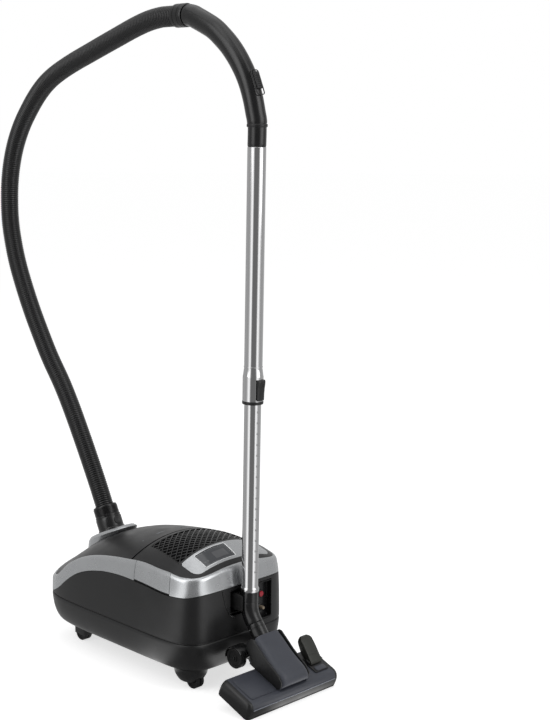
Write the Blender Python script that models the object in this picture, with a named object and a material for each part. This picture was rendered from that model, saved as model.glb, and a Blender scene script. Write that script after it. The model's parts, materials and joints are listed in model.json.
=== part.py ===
"""Canister vacuum cleaner, parked: hose to the front lid, wand hooked upright on the rear.

Metres, +Z up, floor at z = 0.  The machine's front faces -Y, its left side +X.
"""
import math

import bmesh
import bpy
from mathutils import Matrix, Vector

# ---------------------------------------------------------------- driving dimensions
GAP = 0.0003                # seat gap between touching pieces
WALL = 0.003                # moulded wall of the casing
FACETS = 44                 # points round the body's plan outline

BODY_LENGTH = 0.472
BODY_WIDTH = 0.296
BODY_REAR_Y = 0.1605
BODY_BOTTOM_Z = 0.040       # underside of the lower shell
SEAM_Z = 0.105              # parting line of lower and upper shell
NOSE_POWER = 6.0            # squareness of the plan outline, front and rear
TAIL_POWER = 6.5

BAND_LIP = 0.006            # chamfered top of the silver band
BAND_LEDGE = 0.006          # ledge that the top panels rest on
LID_GAP = 0.0011            # half the gap between lid and rear cover

INLET_TILT_DEG = 27         # the inlet leans forward
COLLAR_LENGTH = 0.150
COLLAR_WIDTH = 0.124
CONNECTOR_RADIUS = 0.0285
CONNECTOR_LENGTH = 0.056
HOSE_RADIUS = 0.0205
HOSE_BORE = 0.016
HOSE_RIBS = 120
RIB_DEPTH = 0.0016

WAND_Y = 0.1805             # axis of the parked wand
WAND_RADIUS = 0.0175        # upper tube, 35 mm outside
WAND_WALL = 0.001
LOWER_RADIUS = 0.016
SLEEVE_RADIUS = 0.020
WAND_TOP_Z = 1.066
SLEEVE_TOP_Z = 0.641
SLEEVE_LENGTH = 0.0598
RING_HEIGHT = 0.0057
LOWER_TOP_Z = 0.700
LOWER_END_Z = 0.198
NOTCH_PITCH = 0.0214
NOTCHES = 16
BUTTON_TRAVEL = 0.003

HANDLE_RADIUS = 0.0215
CUFF_RADIUS = 0.0178
HANDLE_BORE = 0.0145

HEAD_TILT_DEG = 21          # the parked head hangs nose down
HEAD_WIDTH = 0.258
HEAD_DEPTH = 0.086
HEAD_HEIGHT = 0.034
HEAD_NOSE_Y = 0.3000        # front lower edge, on the floor
NECK_WIDTH = 0.068
HEAD_WHEEL_RADIUS = 0.0205
ELBOW_RADIUS = 0.0168
ELBOW_BEND_DEG = 38

CASTOR_POD = 0.034          # radius of the round rear castor housings
CASTOR_RADIUS = 0.0165
CASTOR_TRAIL = 0.012
CASTOR_HOUSING = 0.0395     # top of the castor housings, just under the floor
FLOOR_THICKNESS = 0.003

# ---------------------------------------------------------------- derived places
BODY_FRONT_Y = BODY_REAR_Y - BODY_LENGTH
MIDDLE_Y = BODY_FRONT_Y + 0.51 * BODY_LENGTH
WIDE = BODY_WIDTH / 0.296
LONG = BODY_LENGTH / 0.472
SLEEVE_END_Z = SLEEVE_TOP_Z - SLEEVE_LENGTH
CASTOR_X = 0.088 * WIDE
CASTOR_FRONT_Y = BODY_FRONT_Y + 0.068 * LONG
CASTOR_REAR_Y = BODY_REAR_Y - 0.054 * LONG
INLET_Y = BODY_REAR_Y - 0.401 * LONG            # centre of the inlet on the lid
INLET_TILT = math.atan(math.tan(math.radians(INLET_TILT_DEG)) / LONG)
SEAM_Y = BODY_FRONT_Y + 0.608 * BODY_LENGTH     # rear edge of the lid
INLET_AXIS = Vector((0, -math.sin(INLET_TILT), math.cos(INLET_TILT)))

# half width of the casing at each height, and how far front and rear draw in
SIDE = [(0.040, 0.120), (0.046, 0.131), (0.060, 0.139), (0.080, 0.1445), (0.105, 0.1475),
        (0.150, 0.1465), (0.203, 0.1435), (0.235, 0.138), (0.253, 0.131), (0.290, 0.118)]
DRAW_FRONT = [(0.040, 0.022), (0.046, 0.012), (0.060, 0.005), (0.080, 0.001), (0.105, 0.0),
              (0.170, 0.001), (0.200, 0.005), (0.253, 0.011), (0.290, 0.02)]
DRAW_REAR = [(0.040, 0.020), (0.046, 0.011), (0.060, 0.005), (0.080, 0.001), (0.105, 0.0),
             (0.203, 0.001), (0.235, 0.005), (0.253, 0.009), (0.290, 0.018)]
# along the length, as a fraction from the nose: lower edge of the band, crown line, camber
BAND_LOW = [(0.0, 0.108), (0.10, 0.112), (0.184, 0.145), (0.282, 0.176), (0.388, 0.191),
            (0.513, 0.203), (1.0, 0.203)]
CROWN = [(0.0, 0.174), (0.153, 0.214), (0.305, 0.247), (0.409, 0.262), (0.561, 0.276),
         (0.725, 0.285), (0.831, 0.286), (0.915, 0.274), (1.0, 0.247)]
CAMBER = [(0.0, 0.056), (0.10, 0.058), (0.214, 0.036), (0.364, 0.034), (0.619, 0.042),
          (0.852, 0.048), (0.936, 0.035), (1.0, 0.012)]


# ---------------------------------------------------------------- helpers
def read_off(table, at):
    """Value of a table at a place, eased between its rows."""
    if at <= table[0][0]:
        return table[0][1]
    if at >= table[-1][0]:
        return table[-1][1]
    for k in range(len(table) - 1):
        if table[k][0] <= at <= table[k + 1][0]:
            break
    x0, y0 = table[k]
    x1, y1 = table[k + 1]
    step = x1 - x0
    slope = (y1 - y0) / step
    before = slope if k == 0 else (y0 - table[k - 1][1]) / (x0 - table[k - 1][0])
    after = slope if k + 2 == len(table) else (table[k + 2][1] - y1) / (table[k + 2][0] - x1)
    m0 = 0.0 if before * slope <= 0 else 2 * before * slope / (before + slope)
    m1 = 0.0 if after * slope <= 0 else 2 * after * slope / (after + slope)
    s = (at - x0) / step
    return ((2 * s ** 3 - 3 * s * s + 1) * y0 + (s ** 3 - 2 * s * s + s) * step * m0
            + (3 * s * s - 2 * s ** 3) * y1 + (s ** 3 - s * s) * step * m1)


MATERIALS = {}


def material(name, colour, rough, metal=0.0):
    mat = bpy.data.materials.new(name)
    mat.use_nodes = True
    shader = mat.node_tree.nodes["Principled BSDF"]
    shader.inputs["Base Color"].default_value = (*colour, 1)
    shader.inputs["Roughness"].default_value = rough
    shader.inputs["Metallic"].default_value = metal
    MATERIALS[name] = mat


def finish(name, bm, mat):
    """Turn a closed mesh into a named object; warped faces become triangles."""
    bmesh.ops.remove_doubles(bm, verts=bm.verts, dist=0.00001)
    warped = []
    for face in bm.faces:
        middle = face.calc_center_median()
        face.normal_update()
        if len(face.verts) > 3 and max(abs((v.co - middle).dot(face.normal)) for v in face.verts) > 1e-7:
            warped.append(face)
    bmesh.ops.triangulate(bm, faces=warped)
    bmesh.ops.recalc_face_normals(bm, faces=bm.faces)
    mesh = bpy.data.meshes.new(name)
    bm.to_mesh(mesh)
    bm.free()
    mesh.materials.append(MATERIALS[mat])
    obj = bpy.data.objects.new(name, mesh)
    bpy.context.collection.objects.link(obj)
    return obj


def loft(rings, ends=True):
    """Closed skin over rings of equal length; ends are capped, or the last ring meets the first."""
    bm = bmesh.new()
    rows = [[bm.verts.new(p) for p in ring] for ring in rings]
    count = len(rows[0])
    pairs = list(zip(rows, rows[1:])) + ([] if ends else [(rows[-1], rows[0])])
    for one, two in pairs:
        for k in range(count):
            n = (k + 1) % count
            bm.faces.new((one[k], one[n], two[n], two[k]))
    if ends:
        bm.faces.new(rows[0])
        bm.faces.new(reversed(rows[-1]))
    return bm


def turned(profile, centre=(0, 0, 0), axis=(0, 0, 1), steps=24):
    """Revolve a closed (radius, height) profile; a radius of 0 gives a pole."""
    bm = bmesh.new()
    spin = Vector(axis).normalized().to_track_quat("Z", "Y")
    rows = []
    for radius, height in profile:
        if radius < 1e-9:
            rows.append([bm.verts.new(Vector(centre) + spin @ Vector((0, 0, height)))])
            continue
        row = []
        for k in range(steps):
            a = 2 * math.pi * k / steps
            row.append(bm.verts.new(Vector(centre) + spin @ Vector(
                (radius * math.cos(a), radius * math.sin(a), height))))
        rows.append(row)
    for one, two in zip(rows, rows[1:] + rows[:1]):
        if len(one) == 1 and len(two) == 1:
            continue
        for k in range(steps):
            n = (k + 1) % steps
            corners = [one[k % len(one)], one[n % len(one)], two[n % len(two)], two[k % len(two)]]
            bm.faces.new(list(dict.fromkeys(corners)))
    return bm


def rod(radius, start, end, steps=16):
    along = Vector(end) - Vector(start)
    return turned([(0, 0), (radius, 0), (radius, along.length), (0, along.length)],
                  start, along, steps)


def block(low, high):
    (x0, y0, z0), (x1, y1, z1) = low, high
    return loft([[Vector((x0, y0, z)), Vector((x1, y0, z)), Vector((x1, y1, z)), Vector((x0, y1, z))]
                 for z in (z0, z1)])


def pipe(path, radii, bore, steps=20):
    """Round tube along a path lying in the plane x = 0; equal neighbours make a step."""
    outer = []
    inner = []
    for k, point in enumerate(path):
        ahead = next((p for p in path[k + 1:] if (Vector(p) - Vector(point)).length > 1e-6), None)
        behind = next((p for p in path[:k][::-1] if (Vector(p) - Vector(point)).length > 1e-6), None)
        tangent = Vector((0, 0, 0))
        if ahead is not None:
            tangent += (Vector(ahead) - Vector(point)).normalized()
        if behind is not None:
            tangent += (Vector(point) - Vector(behind)).normalized()
        side = Vector((1, 0, 0))
        up = tangent.normalized().cross(side)
        for radius, rings in ((radii[k], outer), (bore, inner)):
            rings.append([Vector(point) + radius * (math.cos(a) * side + math.sin(a) * up)
                          for a in (2 * math.pi * j / steps for j in range(steps))])
    kept = [inner[0]]
    for ring in inner[1:]:
        if (ring[0] - kept[-1][0]).length > 1e-6:
            kept.append(ring)
    return loft(outer + kept[::-1], ends=False)


def shape(obj, tool, how="DIFFERENCE"):
    """Apply one Boolean and drop its tool."""
    cutter = finish("tool", tool, "black_plastic")
    mod = obj.modifiers.new("shape", "BOOLEAN")
    mod.operation = how
    mod.solver = "EXACT"
    mod.object = cutter
    made = bpy.data.meshes.new_from_object(obj.evaluated_get(bpy.context.evaluated_depsgraph_get()))
    obj.modifiers.clear()
    old = obj.data
    obj.data = made
    made.name = obj.name
    bpy.data.meshes.remove(old)
    bpy.data.objects.remove(cutter)


def rounded(width, depth, corner, z, centre=(0, 0), per=3):
    """Rounded rectangle seen from above."""
    ring = []
    for cx, cy, start in ((1, 1, 0), (-1, 1, 90), (-1, -1, 180), (1, -1, 270)):
        for k in range(per + 1):
            a = math.radians(start + 90 * k / per)
            ring.append(Vector((centre[0] + cx * (width / 2 - corner) + corner * math.cos(a),
                                centre[1] + cy * (depth / 2 - corner) + corner * math.sin(a), z)))
    return ring


# ---------------------------------------------------------------- the casing's surface
def outline():
    """Unit directions round the plan, closer together where the outline turns."""
    half = FACETS // 4
    quarters = []
    for power, sign in ((NOSE_POWER, -1), (TAIL_POWER, 1)):
        fine = []
        for k in range(601):
            a = math.pi / 2 * k / 600
            c = math.sin(a)
            s = math.cos(a)
            r = (c ** power + s ** power) ** (-1 / power)
            fine.append((r * c, r * s))
        weight = [0.0]
        heading = None
        for (x0, y0), (x1, y1) in zip(fine, fine[1:]):
            turn = math.atan2(y1 - y0, (x1 - x0) * 0.62)
            bend = 0 if heading is None else abs(turn - heading)
            heading = turn
            weight.append(weight[-1] + math.hypot((x1 - x0) * 0.62, y1 - y0) + 1.1 * bend)
        picks = []
        k = 0
        for n in range(half + 1):
            while k < 600 and weight[k] < weight[-1] * n / half:
                k += 1
            picks.append((fine[k][0], sign * fine[k][1]))
        quarters.append(picks)
    front, rear = quarters
    right = front + rear[::-1][1:]
    left = [(-x, y) for x, y in right[::-1]][1:-1]
    return right + left


OUTLINE = outline()


def skin(k, z, inset=0.0):
    """Point of the casing in direction k (may fall between two), at a height."""
    low = int(math.floor(k))
    part = k - low
    x0, y0 = OUTLINE[low % FACETS]
    x1, y1 = OUTLINE[(low + 1) % FACETS]
    ux = x0 + (x1 - x0) * part
    uy = y0 + (y1 - y0) * part
    x = ux * (read_off(SIDE, z) * WIDE - inset)
    if uy < 0:
        y = MIDDLE_Y + uy * (MIDDLE_Y - BODY_FRONT_Y - read_off(DRAW_FRONT, z) - inset)
    else:
        y = MIDDLE_Y + uy * (BODY_REAR_Y - MIDDLE_Y - read_off(DRAW_REAR, z) - inset)
    return Vector((x, y, z))


def portion(y):
    return (y - BODY_FRONT_Y) / BODY_LENGTH


def crown(x, y):
    """Height of the domed top."""
    f = portion(y)
    return read_off(CROWN, f) - read_off(CAMBER, f) * abs(x / WIDE / 0.14) ** 2.2


def band_low(k):
    return read_off(BAND_LOW, portion(skin(k, SEAM_Z).y))


def band_top(k):
    z = 0.2
    for _ in range(12):
        at = skin(k, z - BAND_LIP, BAND_LIP)
        z = crown(at.x, at.y)
    return z


def ring_at(z, inset):
    return [skin(k, z, inset) for k in range(FACETS)]


# ---------------------------------------------------------------- casing
def lower_shell():
    floor = BODY_BOTTOM_Z
    outer = [(floor, 0), (floor + 0.006, 0), (floor + 0.02, 0), (floor + 0.04, 0), (SEAM_Z - GAP / 2, 0)]
    rings = [ring_at(z, inset) for z, inset in outer]
    inner = [(SEAM_Z - GAP / 2, WALL), (floor + 0.04, WALL), (floor + 0.02, WALL), (floor + 0.0075, WALL)]
    rings += [ring_at(z, inset) for z, inset in inner]
    rings.append([Vector((p.x, p.y, floor + FLOOR_THICKNESS)) for p in ring_at(floor, 0.001)])
    obj = finish("lower_shell", loft(rings), "black_plastic")
    x, y = BELLY_PAD
    pad = [rounded(2 * x - d, 2 * y - d, 0.02, z, (0, BELLY_Y)) for z, d in
           ((floor + 0.001, 0), (floor - 0.0015, 0), (floor - 0.0025, 0.002))]
    shape(obj, loft(pad), "UNION")
    for x, y in castor_places():
        shape(obj, rod(0.009, (x, y, floor + 0.0015), (x, y, floor + 0.018), 8), "UNION")
        shape(obj, rod(CASTOR_STEM + GAP, (x, y, floor - 0.01), (x, y, floor + 0.0153), 8))
    return obj


def upper_shell():
    """Side wall: up to the band, with an upstanding tongue behind it."""
    rings = []
    for k in range(FACETS):
        low = SEAM_Z + GAP / 2
        top = band_low(k) - GAP / 2
        thick = WALL + GAP + 0.0007
        rings.append([skin(k, low), skin(k, top), skin(k, top, thick), skin(k, top + 0.004, thick),
                      skin(k, top + 0.004, thick + 0.002), skin(k, max(low, top - 0.006), thick + 0.002),
                      skin(k, low, WALL)] if top - low > 0.009 else
                     [skin(k, low), skin(k, top), skin(k, top, thick), skin(k, top + 0.004, thick),
                      skin(k, top + 0.004, thick + 0.002), skin(k, low + 0.0015, thick + 0.002),
                      skin(k, low, WALL)])
    obj = finish("upper_shell", loft(rings, ends=False), "black_plastic")
    lo, hi = RECESS_Z
    shape(obj, block((-RECESS_HALF, BODY_REAR_Y - 0.03, lo), (RECESS_HALF, BODY_REAR_Y + 0.01, hi)))
    x0, x1, z0, z1 = OUTLET
    shape(obj, block((x0, BODY_REAR_Y - 0.03, z0), (x1, BODY_REAR_Y + 0.01, z1)))
    return obj


def band_section(k, lift):
    top = band_top(k)
    low = band_low(k) + GAP / 2 + lift
    return [skin(k, low), skin(k, top - BAND_LIP),
            *(Vector((p.x, p.y, z)) for p, z in (
                (skin(k, top - BAND_LIP, BAND_LIP * 0.45), top - BAND_LIP * 0.25),
                (skin(k, top - BAND_LIP, BAND_LIP), top),
                (skin(k, top - BAND_LIP, BAND_LIP), top - WALL - GAP),
                (skin(k, top - BAND_LIP, BAND_LIP + BAND_LEDGE), top - WALL - GAP),
                (skin(k, top - BAND_LIP, BAND_LIP + BAND_LEDGE), top - WALL - 0.0025))),
            skin(k, top - BAND_LIP - 0.006, WALL), skin(k, low, WALL)]


def band(name, start, end, mat, lift=0.0):
    """Part of the trim band between two directions, with a hairline gap at each end."""
    def section(k):
        low = int(math.floor(k))
        part = k - low
        one = band_section(low % FACETS, lift)
        two = band_section((low + 1) % FACETS, lift)
        return [a.lerp(b, part) for a, b in zip(one, two)]
    def trim(k):
        return BAND_JOINT / (skin(k, SEAM_Z) - skin(k + 1, SEAM_Z)).length
    stops = [start + trim(start)] + list(range(start + 1, end)) + [end - trim(end - 1)]
    return finish(name, loft([section(k) for k in stops]), mat)


def nearest(x_sign, y, side_only=True):
    """Direction whose point lies nearest a place along one side."""
    best = None
    for k in range(FACETS):
        p = skin(k, SEAM_Z)
        if p.x * x_sign <= 0.02:
            continue
        away = abs(p.y - y)
        if best is None or away < best[0]:
            best = (away, k)
    return best[1]


def dome(name, mat, lower, inset):
    """Domed shell within the band, top and underside."""
    edge = []
    for k in range(FACETS):
        edge.append(skin(k, band_top(k) - BAND_LIP, BAND_LIP + inset))
    steps = (1.0, 0.9, 0.72, 0.48, 0.2)
    over = []
    under = []
    for s in steps:
        flat = [(p.x * s, MIDDLE_Y + (p.y - MIDDLE_Y) * s) for p in edge]
        over.append([Vector((x, y, crown(x, y))) for x, y in flat])
        under.append([Vector((x, y, crown(x, y) - lower)) for x, y in flat])
    return finish(name, loft(over[::-1] + under), mat)


def rear_cut(gap, front=True):
    y = SEAM_Y - gap if front else SEAM_Y + gap
    far = -0.6 if not front else 0.6
    return block((-0.3, min(y, far), 0.0), (0.3, max(y, far), 0.5))


def front_lid():
    obj = dome("front_lid", "black_plastic", WALL, GAP)
    shape(obj, rear_cut(LID_GAP))
    base = INLET_BASE
    shape(obj, rod(SPIGOT_RADIUS + 0.0008, base - 0.05 * INLET_AXIS, base + 0.05 * INLET_AXIS, 24))
    z = HINGE_Z
    shape(obj, block((-0.0165, SEAM_Y - 0.0022, z - 0.02), (0.0165, SEAM_Y + 0.02, z + 0.02)))
    lug = loft([[Vector((x, SEAM_Y + y, z + up)) for y, up in (
        (0.0011, -0.0012), (0.0, -0.0017), (-0.0068, -0.0017), (-0.0068, 0.0011), (-0.0007, 0.0016),
        (0.0007, 0.0016), (0.0016, 0.0005))] for x in (-0.0070, 0.0070)])
    shape(obj, lug, "UNION")
    shape(obj, rod(HINGE_PIN + GAP, (-0.02, SEAM_Y, z), (0.02, SEAM_Y, z), 12))
    return obj


def rear_cover():
    obj = dome("rear_cover", "black_plastic", WALL, GAP)
    shape(obj, rear_cut(LID_SWING, front=False))
    lug = loft([[Vector((x, SEAM_Y + y, HINGE_Z + z)) for y, z in (
        (-0.0011, -0.0012), (0.0, -0.0017), (0.0068, -0.0017), (0.0068, 0.0011), (0.0007, 0.0016),
        (-0.0007, 0.0016), (-0.0016, 0.0005))] for x in (-0.0160, 0.0160)])
    shape(obj, lug, "UNION")
    shape(obj, block((-0.0073, SEAM_Y - 0.01, HINGE_Z - 0.02), (0.0073, SEAM_Y + 0.0040, HINGE_Z + 0.02)))
    shape(obj, rod(HINGE_PIN + GAP, (-0.03, SEAM_Y, HINGE_Z), (0.03, SEAM_Y, HINGE_Z), 12))
    shape(obj, prism(GRILLE_PLAN, 0.15, 0.4, 0.0))
    shape(obj, prism(CONSOLE_PLAN, 0.15, 0.4, 0.0))
    return obj


def prism(plan, low, high, inset):
    """Upright prism on a plan, drawn in by an inset (plan listed anticlockwise)."""
    cx = sum(p[0] for p in plan) / len(plan)
    cy = sum(p[1] for p in plan) / len(plan)
    ring = []
    for x, y in plan:
        ring.append((x - math.copysign(inset, x - cx), y - math.copysign(inset, y - cy)))
    return loft([[Vector((x, y, low)) for x, y in ring], [Vector((x, y, high)) for x, y in ring]])


def perforated(xs, ys, solid, place):
    """Plate on a grid with the cells that are not solid left open."""
    bm = bmesh.new()
    verts = {}

    def vert(i, j, side):
        if (i, j, side) not in verts:
            verts[i, j, side] = bm.verts.new(place(xs[i], ys[j], side))
        return verts[i, j, side]

    def filled(i, j):
        return 0 <= i < len(xs) - 1 and 0 <= j < len(ys) - 1 and solid(i, j)

    for i in range(len(xs) - 1):
        for j in range(len(ys) - 1):
            if not filled(i, j):
                continue
            for side in (0, 1):
                bm.faces.new([vert(i, j, side), vert(i + 1, j, side),
                              vert(i + 1, j + 1, side), vert(i, j + 1, side)])
            for di, dj, a, b in ((-1, 0, (i, j), (i, j + 1)), (1, 0, (i + 1, j), (i + 1, j + 1)),
                                 (0, -1, (i, j), (i + 1, j)), (0, 1, (i, j + 1), (i + 1, j + 1))):
                if not filled(i + di, j + dj):
                    bm.faces.new([vert(*a, 0), vert(*b, 0), vert(*b, 1), vert(*a, 1)])
    return bm


def exhaust_grille():
    """Ribbed outlet that follows the dome: bowed ribs between a frame and four spines."""
    rib = 0.0022
    ys = [0.0, 0.03]
    for n in range(GRILLE_RIBS):
        start = 0.03 + 0.94 * (n + 0.5) / GRILLE_RIBS
        ys += [start - 0.46 * 0.94 / GRILLE_RIBS * 0.62, start + 0.46 * 0.94 / GRILLE_RIBS * 0.62]
    ys += [0.97, 1.0]
    xs = [-1.0, -0.955]
    for n in range(GRILLE_SPINES):
        at = -0.955 + 1.91 * (n + 1) / (GRILLE_SPINES + 1)
        xs += [at - 0.022, at + 0.022]
    xs += [0.955, 1.0]
    (xf, y0), (xr, y1) = (GRILLE_PLAN[1], GRILLE_PLAN[2])

    def solid(i, j):
        return i % 2 == 0 or j == 0 or j == len(ys) - 2 or j % 2 == 0

    def place(u, v, side):
        half = xf + (xr - xf) * v - 0.0004
        x = u * half
        bow = 0.020 * LONG * math.sin(math.pi * v) * (1 - u * u)
        y = (y0 + 0.0004) + (y1 - y0 - 0.0008) * v - bow
        return Vector((x, y, crown(x, y) - (0.0006 if side else rib + 0.0006)))

    return finish("exhaust_grille", perforated(xs, ys, solid, place), "black_gloss")


def on_dome(name, plan, inset, drop, thick, mat, split=10, hole=None):
    """Plate that follows the dome inside a plan."""
    (xa, ya), (xb, yb) = plan[1], plan[2]
    xs = [-1 + 2 * k / split for k in range(split + 1)]
    ys = [k / 4 for k in range(5)]

    def place(u, v, side):
        half = xa + (xb - xa) * v - inset
        x = u * half
        y = ya + inset + (yb - ya - 2 * inset) * v
        return Vector((x, y, crown(x, y) - drop - (0 if side else thick)))

    return finish(name, perforated(xs, ys, hole or (lambda i, j: True), place), mat)


def inlet_collar():
    """Oval mount on the lid's slope; its foot follows the dome."""
    across = Vector((0, INLET_AXIS.z, -INLET_AXIS.y))
    rings = []
    count = 36
    for k in range(count):
        a = 2 * math.pi * k / count
        def at(sx, sy, height, foot=False):
            p = (INLET_BASE + Vector((sx * math.cos(a), 0, 0)) + across * (sy * math.sin(a))
                 + INLET_AXIS * height)
            if foot:
                p.z = crown(p.x, p.y) + GAP + 0.0006
            return p
        hx = COLLAR_WIDTH / 2
        hy = COLLAR_LENGTH / 2
        hole = CONNECTOR_RADIUS - 0.002
        rings.append([at(hole, hole, 0, True), at(hole * 0.62 + hx * 0.38, hole * 0.62 + hy * 0.38, 0, True),
                      at(hole * 0.3 + hx * 0.7, hole * 0.3 + hy * 0.7, 0, True), at(hx, hy, 0, True), at(hx * 0.97, hy * 0.97, -0.0045),
                      at(hx * 0.86, hy * 0.86, -0.0008), at(CONNECTOR_RADIUS + 0.004,
                      CONNECTOR_RADIUS + 0.004, -GAP), at(hole, hole, -GAP)])
    return finish("inlet_collar", loft(rings, ends=False), "silver_paint")


def hose_connector():
    r = CONNECTOR_RADIUS
    profile = [(SPIGOT_RADIUS, -0.030), (SPIGOT_RADIUS, 0), (r + 0.0012, 0.0), (r + 0.0012, 0.004),
               (r, 0.006), (r, 0.028), (r - 0.002, 0.031), (r - 0.002, CONNECTOR_LENGTH - 0.002),
               (r - 0.004, CONNECTOR_LENGTH), (HOSE_BORE, CONNECTOR_LENGTH), (HOSE_BORE, -0.030)]
    obj = finish("hose_connector", turned(profile, INLET_BASE, INLET_AXIS, 20), "black_gloss")
    for sign in (1, -1):
        way = BUTTON_WAY * sign
        mid = INLET_BASE + INLET_AXIS * 0.0165
        shape(obj, rod(LOCK_BUTTON + GAP, mid + way * (r - 0.0063), mid + way * (r + 0.01), 16))
    return obj


def lock_button(name, sign):
    way = BUTTON_WAY * sign
    mid = INLET_BASE + INLET_AXIS * 0.0165
    profile = [(0, 0), (LOCK_BUTTON, 0), (LOCK_BUTTON, 0.0040), (LOCK_BUTTON - 0.0008, 0.0048), (0, 0.0052)]
    return finish(name, turned(profile, mid + way * (CONNECTOR_RADIUS - 0.0031), way, 16), "black_plastic")


# ---------------------------------------------------------------- inside the casing
def chassis():
    """Bulkhead between the bag chamber and the motor chamber, with a round window for the filter."""
    y = BULKHEAD_Y
    low = BODY_BOTTOM_Z + FLOOR_THICKNESS + GAP
    right = [(0.110 * WIDE, low)]
    for z in (0.056, 0.075, 0.105, 0.15, 0.195, 0.222):
        right.append((read_off(SIDE, z) * WIDE - WALL - 0.0085, z))
    for x in (0.112 * WIDE, 0.075 * WIDE, 0.03 * WIDE):
        right.append((x, crown(x, y) - WALL - 0.0012))
    edge = right + [(-x, z) for x, z in right[::-1]]
    obj = finish("bulkhead", loft([[Vector((x, yy, z)) for x, z in edge] for yy in (y - 0.002, y + 0.002)]),
                 "grey_plastic")
    shape(obj, rod(FILTER_RADIUS + GAP, (0, y - 0.01, FILTER_Z), (0, y + 0.01, FILTER_Z), 28))
    return obj


def motor_parts():
    y = BULKHEAD_Y + 0.002 + GAP
    x, z = MOTOR_AT
    r = MOTOR_RADIUS
    length = MOTOR_LENGTH
    hollow = [(0.020, 0), (r, 0), (r, length), (0.004 + GAP, length), (0.004 + GAP, length - 0.003),
              (r - 0.003, length - 0.003), (r - 0.003, 0.003), (0.020, 0.003)]
    case = finish("motor_housing", turned(hollow, (x, y, z), (0, 1, 0), 20), "grey_plastic")
    low = BODY_BOTTOM_Z + FLOOR_THICKNESS + GAP
    for at in (0.006, length - 0.014):
        shape(case, block((x - 0.012, y + at, low), (x + 0.012, y + at + 0.006, z - r + 0.0022)), "UNION")
    fan_r = r - 0.006
    hub = [(0, 0), (0.011, 0), (0.011, 0.011), (fan_r, 0.013), (fan_r, 0.016), (0.004, 0.016),
           (0.004, length - 0.006), (0, length - 0.006)]
    fan = finish("motor_fan", turned(hub, (x, y + 0.010, z), (0, 1, 0), 18), "aluminium")
    blades = bmesh.new()
    for k in range(7):
        a = 2 * math.pi * k / 7
        one = block((0.012, -0.0008, 0.0012), (fan_r - 0.001, 0.0008, 0.0135))
        bmesh.ops.rotate(one, verts=one.verts, cent=(0, 0, 0), matrix=Matrix.Rotation(0.45, 3, "Z"))
        bmesh.ops.translate(one, verts=one.verts, vec=(-0.0015, -0.0052, 0))
        bmesh.ops.rotate(one, verts=one.verts, cent=(0, 0, 0), matrix=Matrix.Rotation(a, 3, "Z"))
        spin = Vector((0, 1, 0)).to_track_quat("Z", "Y").to_matrix()
        bmesh.ops.rotate(one, verts=one.verts, cent=(0, 0, 0), matrix=spin)
        bmesh.ops.translate(one, verts=one.verts, vec=(x, y + 0.010, z))
        part = bpy.data.meshes.new("blade")
        one.to_mesh(part)
        one.free()
        blades.from_mesh(part)
        bpy.data.meshes.remove(part)
    shape(fan, blades, "UNION")


def reel_parts():
    """Drum of the mains lead: two flanges, a hub and the wound lead, on a fixed axle."""
    x, y, z = REEL_AT
    w = REEL_WIDTH
    r = REEL_RADIUS
    drum = [(REEL_AXLE + GAP, 0), (r, 0), (r, 0.0025), (0.024, 0.0025), (0.024, w - 0.0025),
            (r, w - 0.0025), (r, w), (REEL_AXLE + GAP, w)]
    finish("cord_reel", turned(drum, (x, y, z), (1, 0, 0), 24), "grey_plastic")
    inner = 0.024 + GAP
    full = r - 0.008
    turns = 4
    pitch = (w - 0.005 - 2 * GAP) / turns
    wound = [(inner, 0.0025 + GAP)]
    for k in range(turns):
        base = 0.0025 + GAP + pitch * k
        wound += [(full - 0.0020, base), (full, base + pitch / 2)]
    wound += [(full - 0.0020, w - 0.0025 - GAP), (inner, w - 0.0025 - GAP)]
    finish("wound_lead", turned(wound, (x, y, z), (1, 0, 0), 24), "black_rubber")
    low = BODY_BOTTOM_Z + FLOOR_THICKNESS + GAP
    frame = finish("reel_bracket", block((x - 0.0035, y - 0.014, low), (x - GAP, y + 0.014, z + 0.012)),
                   "grey_plastic")
    shape(frame, rod(REEL_AXLE, (x - 0.001, y, z), (x + w, y, z), 14), "UNION")


def bag_parts():
    """Dust bag on its holder, with the pre-motor filter in the bulkhead."""
    base = INLET_BASE
    axis = INLET_AXIS
    top = -0.030 - GAP
    card = rounded(0.110, 0.100, 0.012, 0)
    lift = axis.to_track_quat("Z", "Y")
    quarter = Matrix.Rotation(0, 3, "Z")
    plate = loft([[base + axis * (top - h) + lift @ (quarter @ p) for p in card]
                  for h in (0.0025, 0.0)])
    holder = finish("bag_holder", plate, "grey_plastic")
    shape(holder, rod(HOSE_BORE + 0.001, base + axis * (top - 0.01), base + axis * (top + 0.01), 24))
    rings = []
    front = BODY_FRONT_Y + 0.028
    back = BULKHEAD_Y - 0.012
    low = BODY_BOTTOM_Z + 0.018 + GAP
    mid = (front + back) / 2
    deep = back - front
    for z, sx, sy in ((low, 0.84, 0.90), (low + 0.012, 0.97, 0.98), (low + 0.045, 1.0, 1.0),
                      (low + 0.075, 0.95, 0.94), (low + 0.092, 0.72, 0.72)):
        rings.append(rounded(0.236 * WIDE * sx, deep * sy, 0.03, z, (0, mid), 3))
    finish("dust_bag", loft(rings), "fleece")
    y = BULKHEAD_Y
    rings = [(0, -0.0055), (FILTER_RADIUS + 0.004, -0.0055), (FILTER_RADIUS + 0.004, -0.0023),
             (FILTER_RADIUS, -0.0023), (FILTER_RADIUS, 0.0015), (0, 0.0015)]
    finish("motor_filter", turned(rings, (0, y, FILTER_Z), (0, 1, 0), 28), "fleece")


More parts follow.
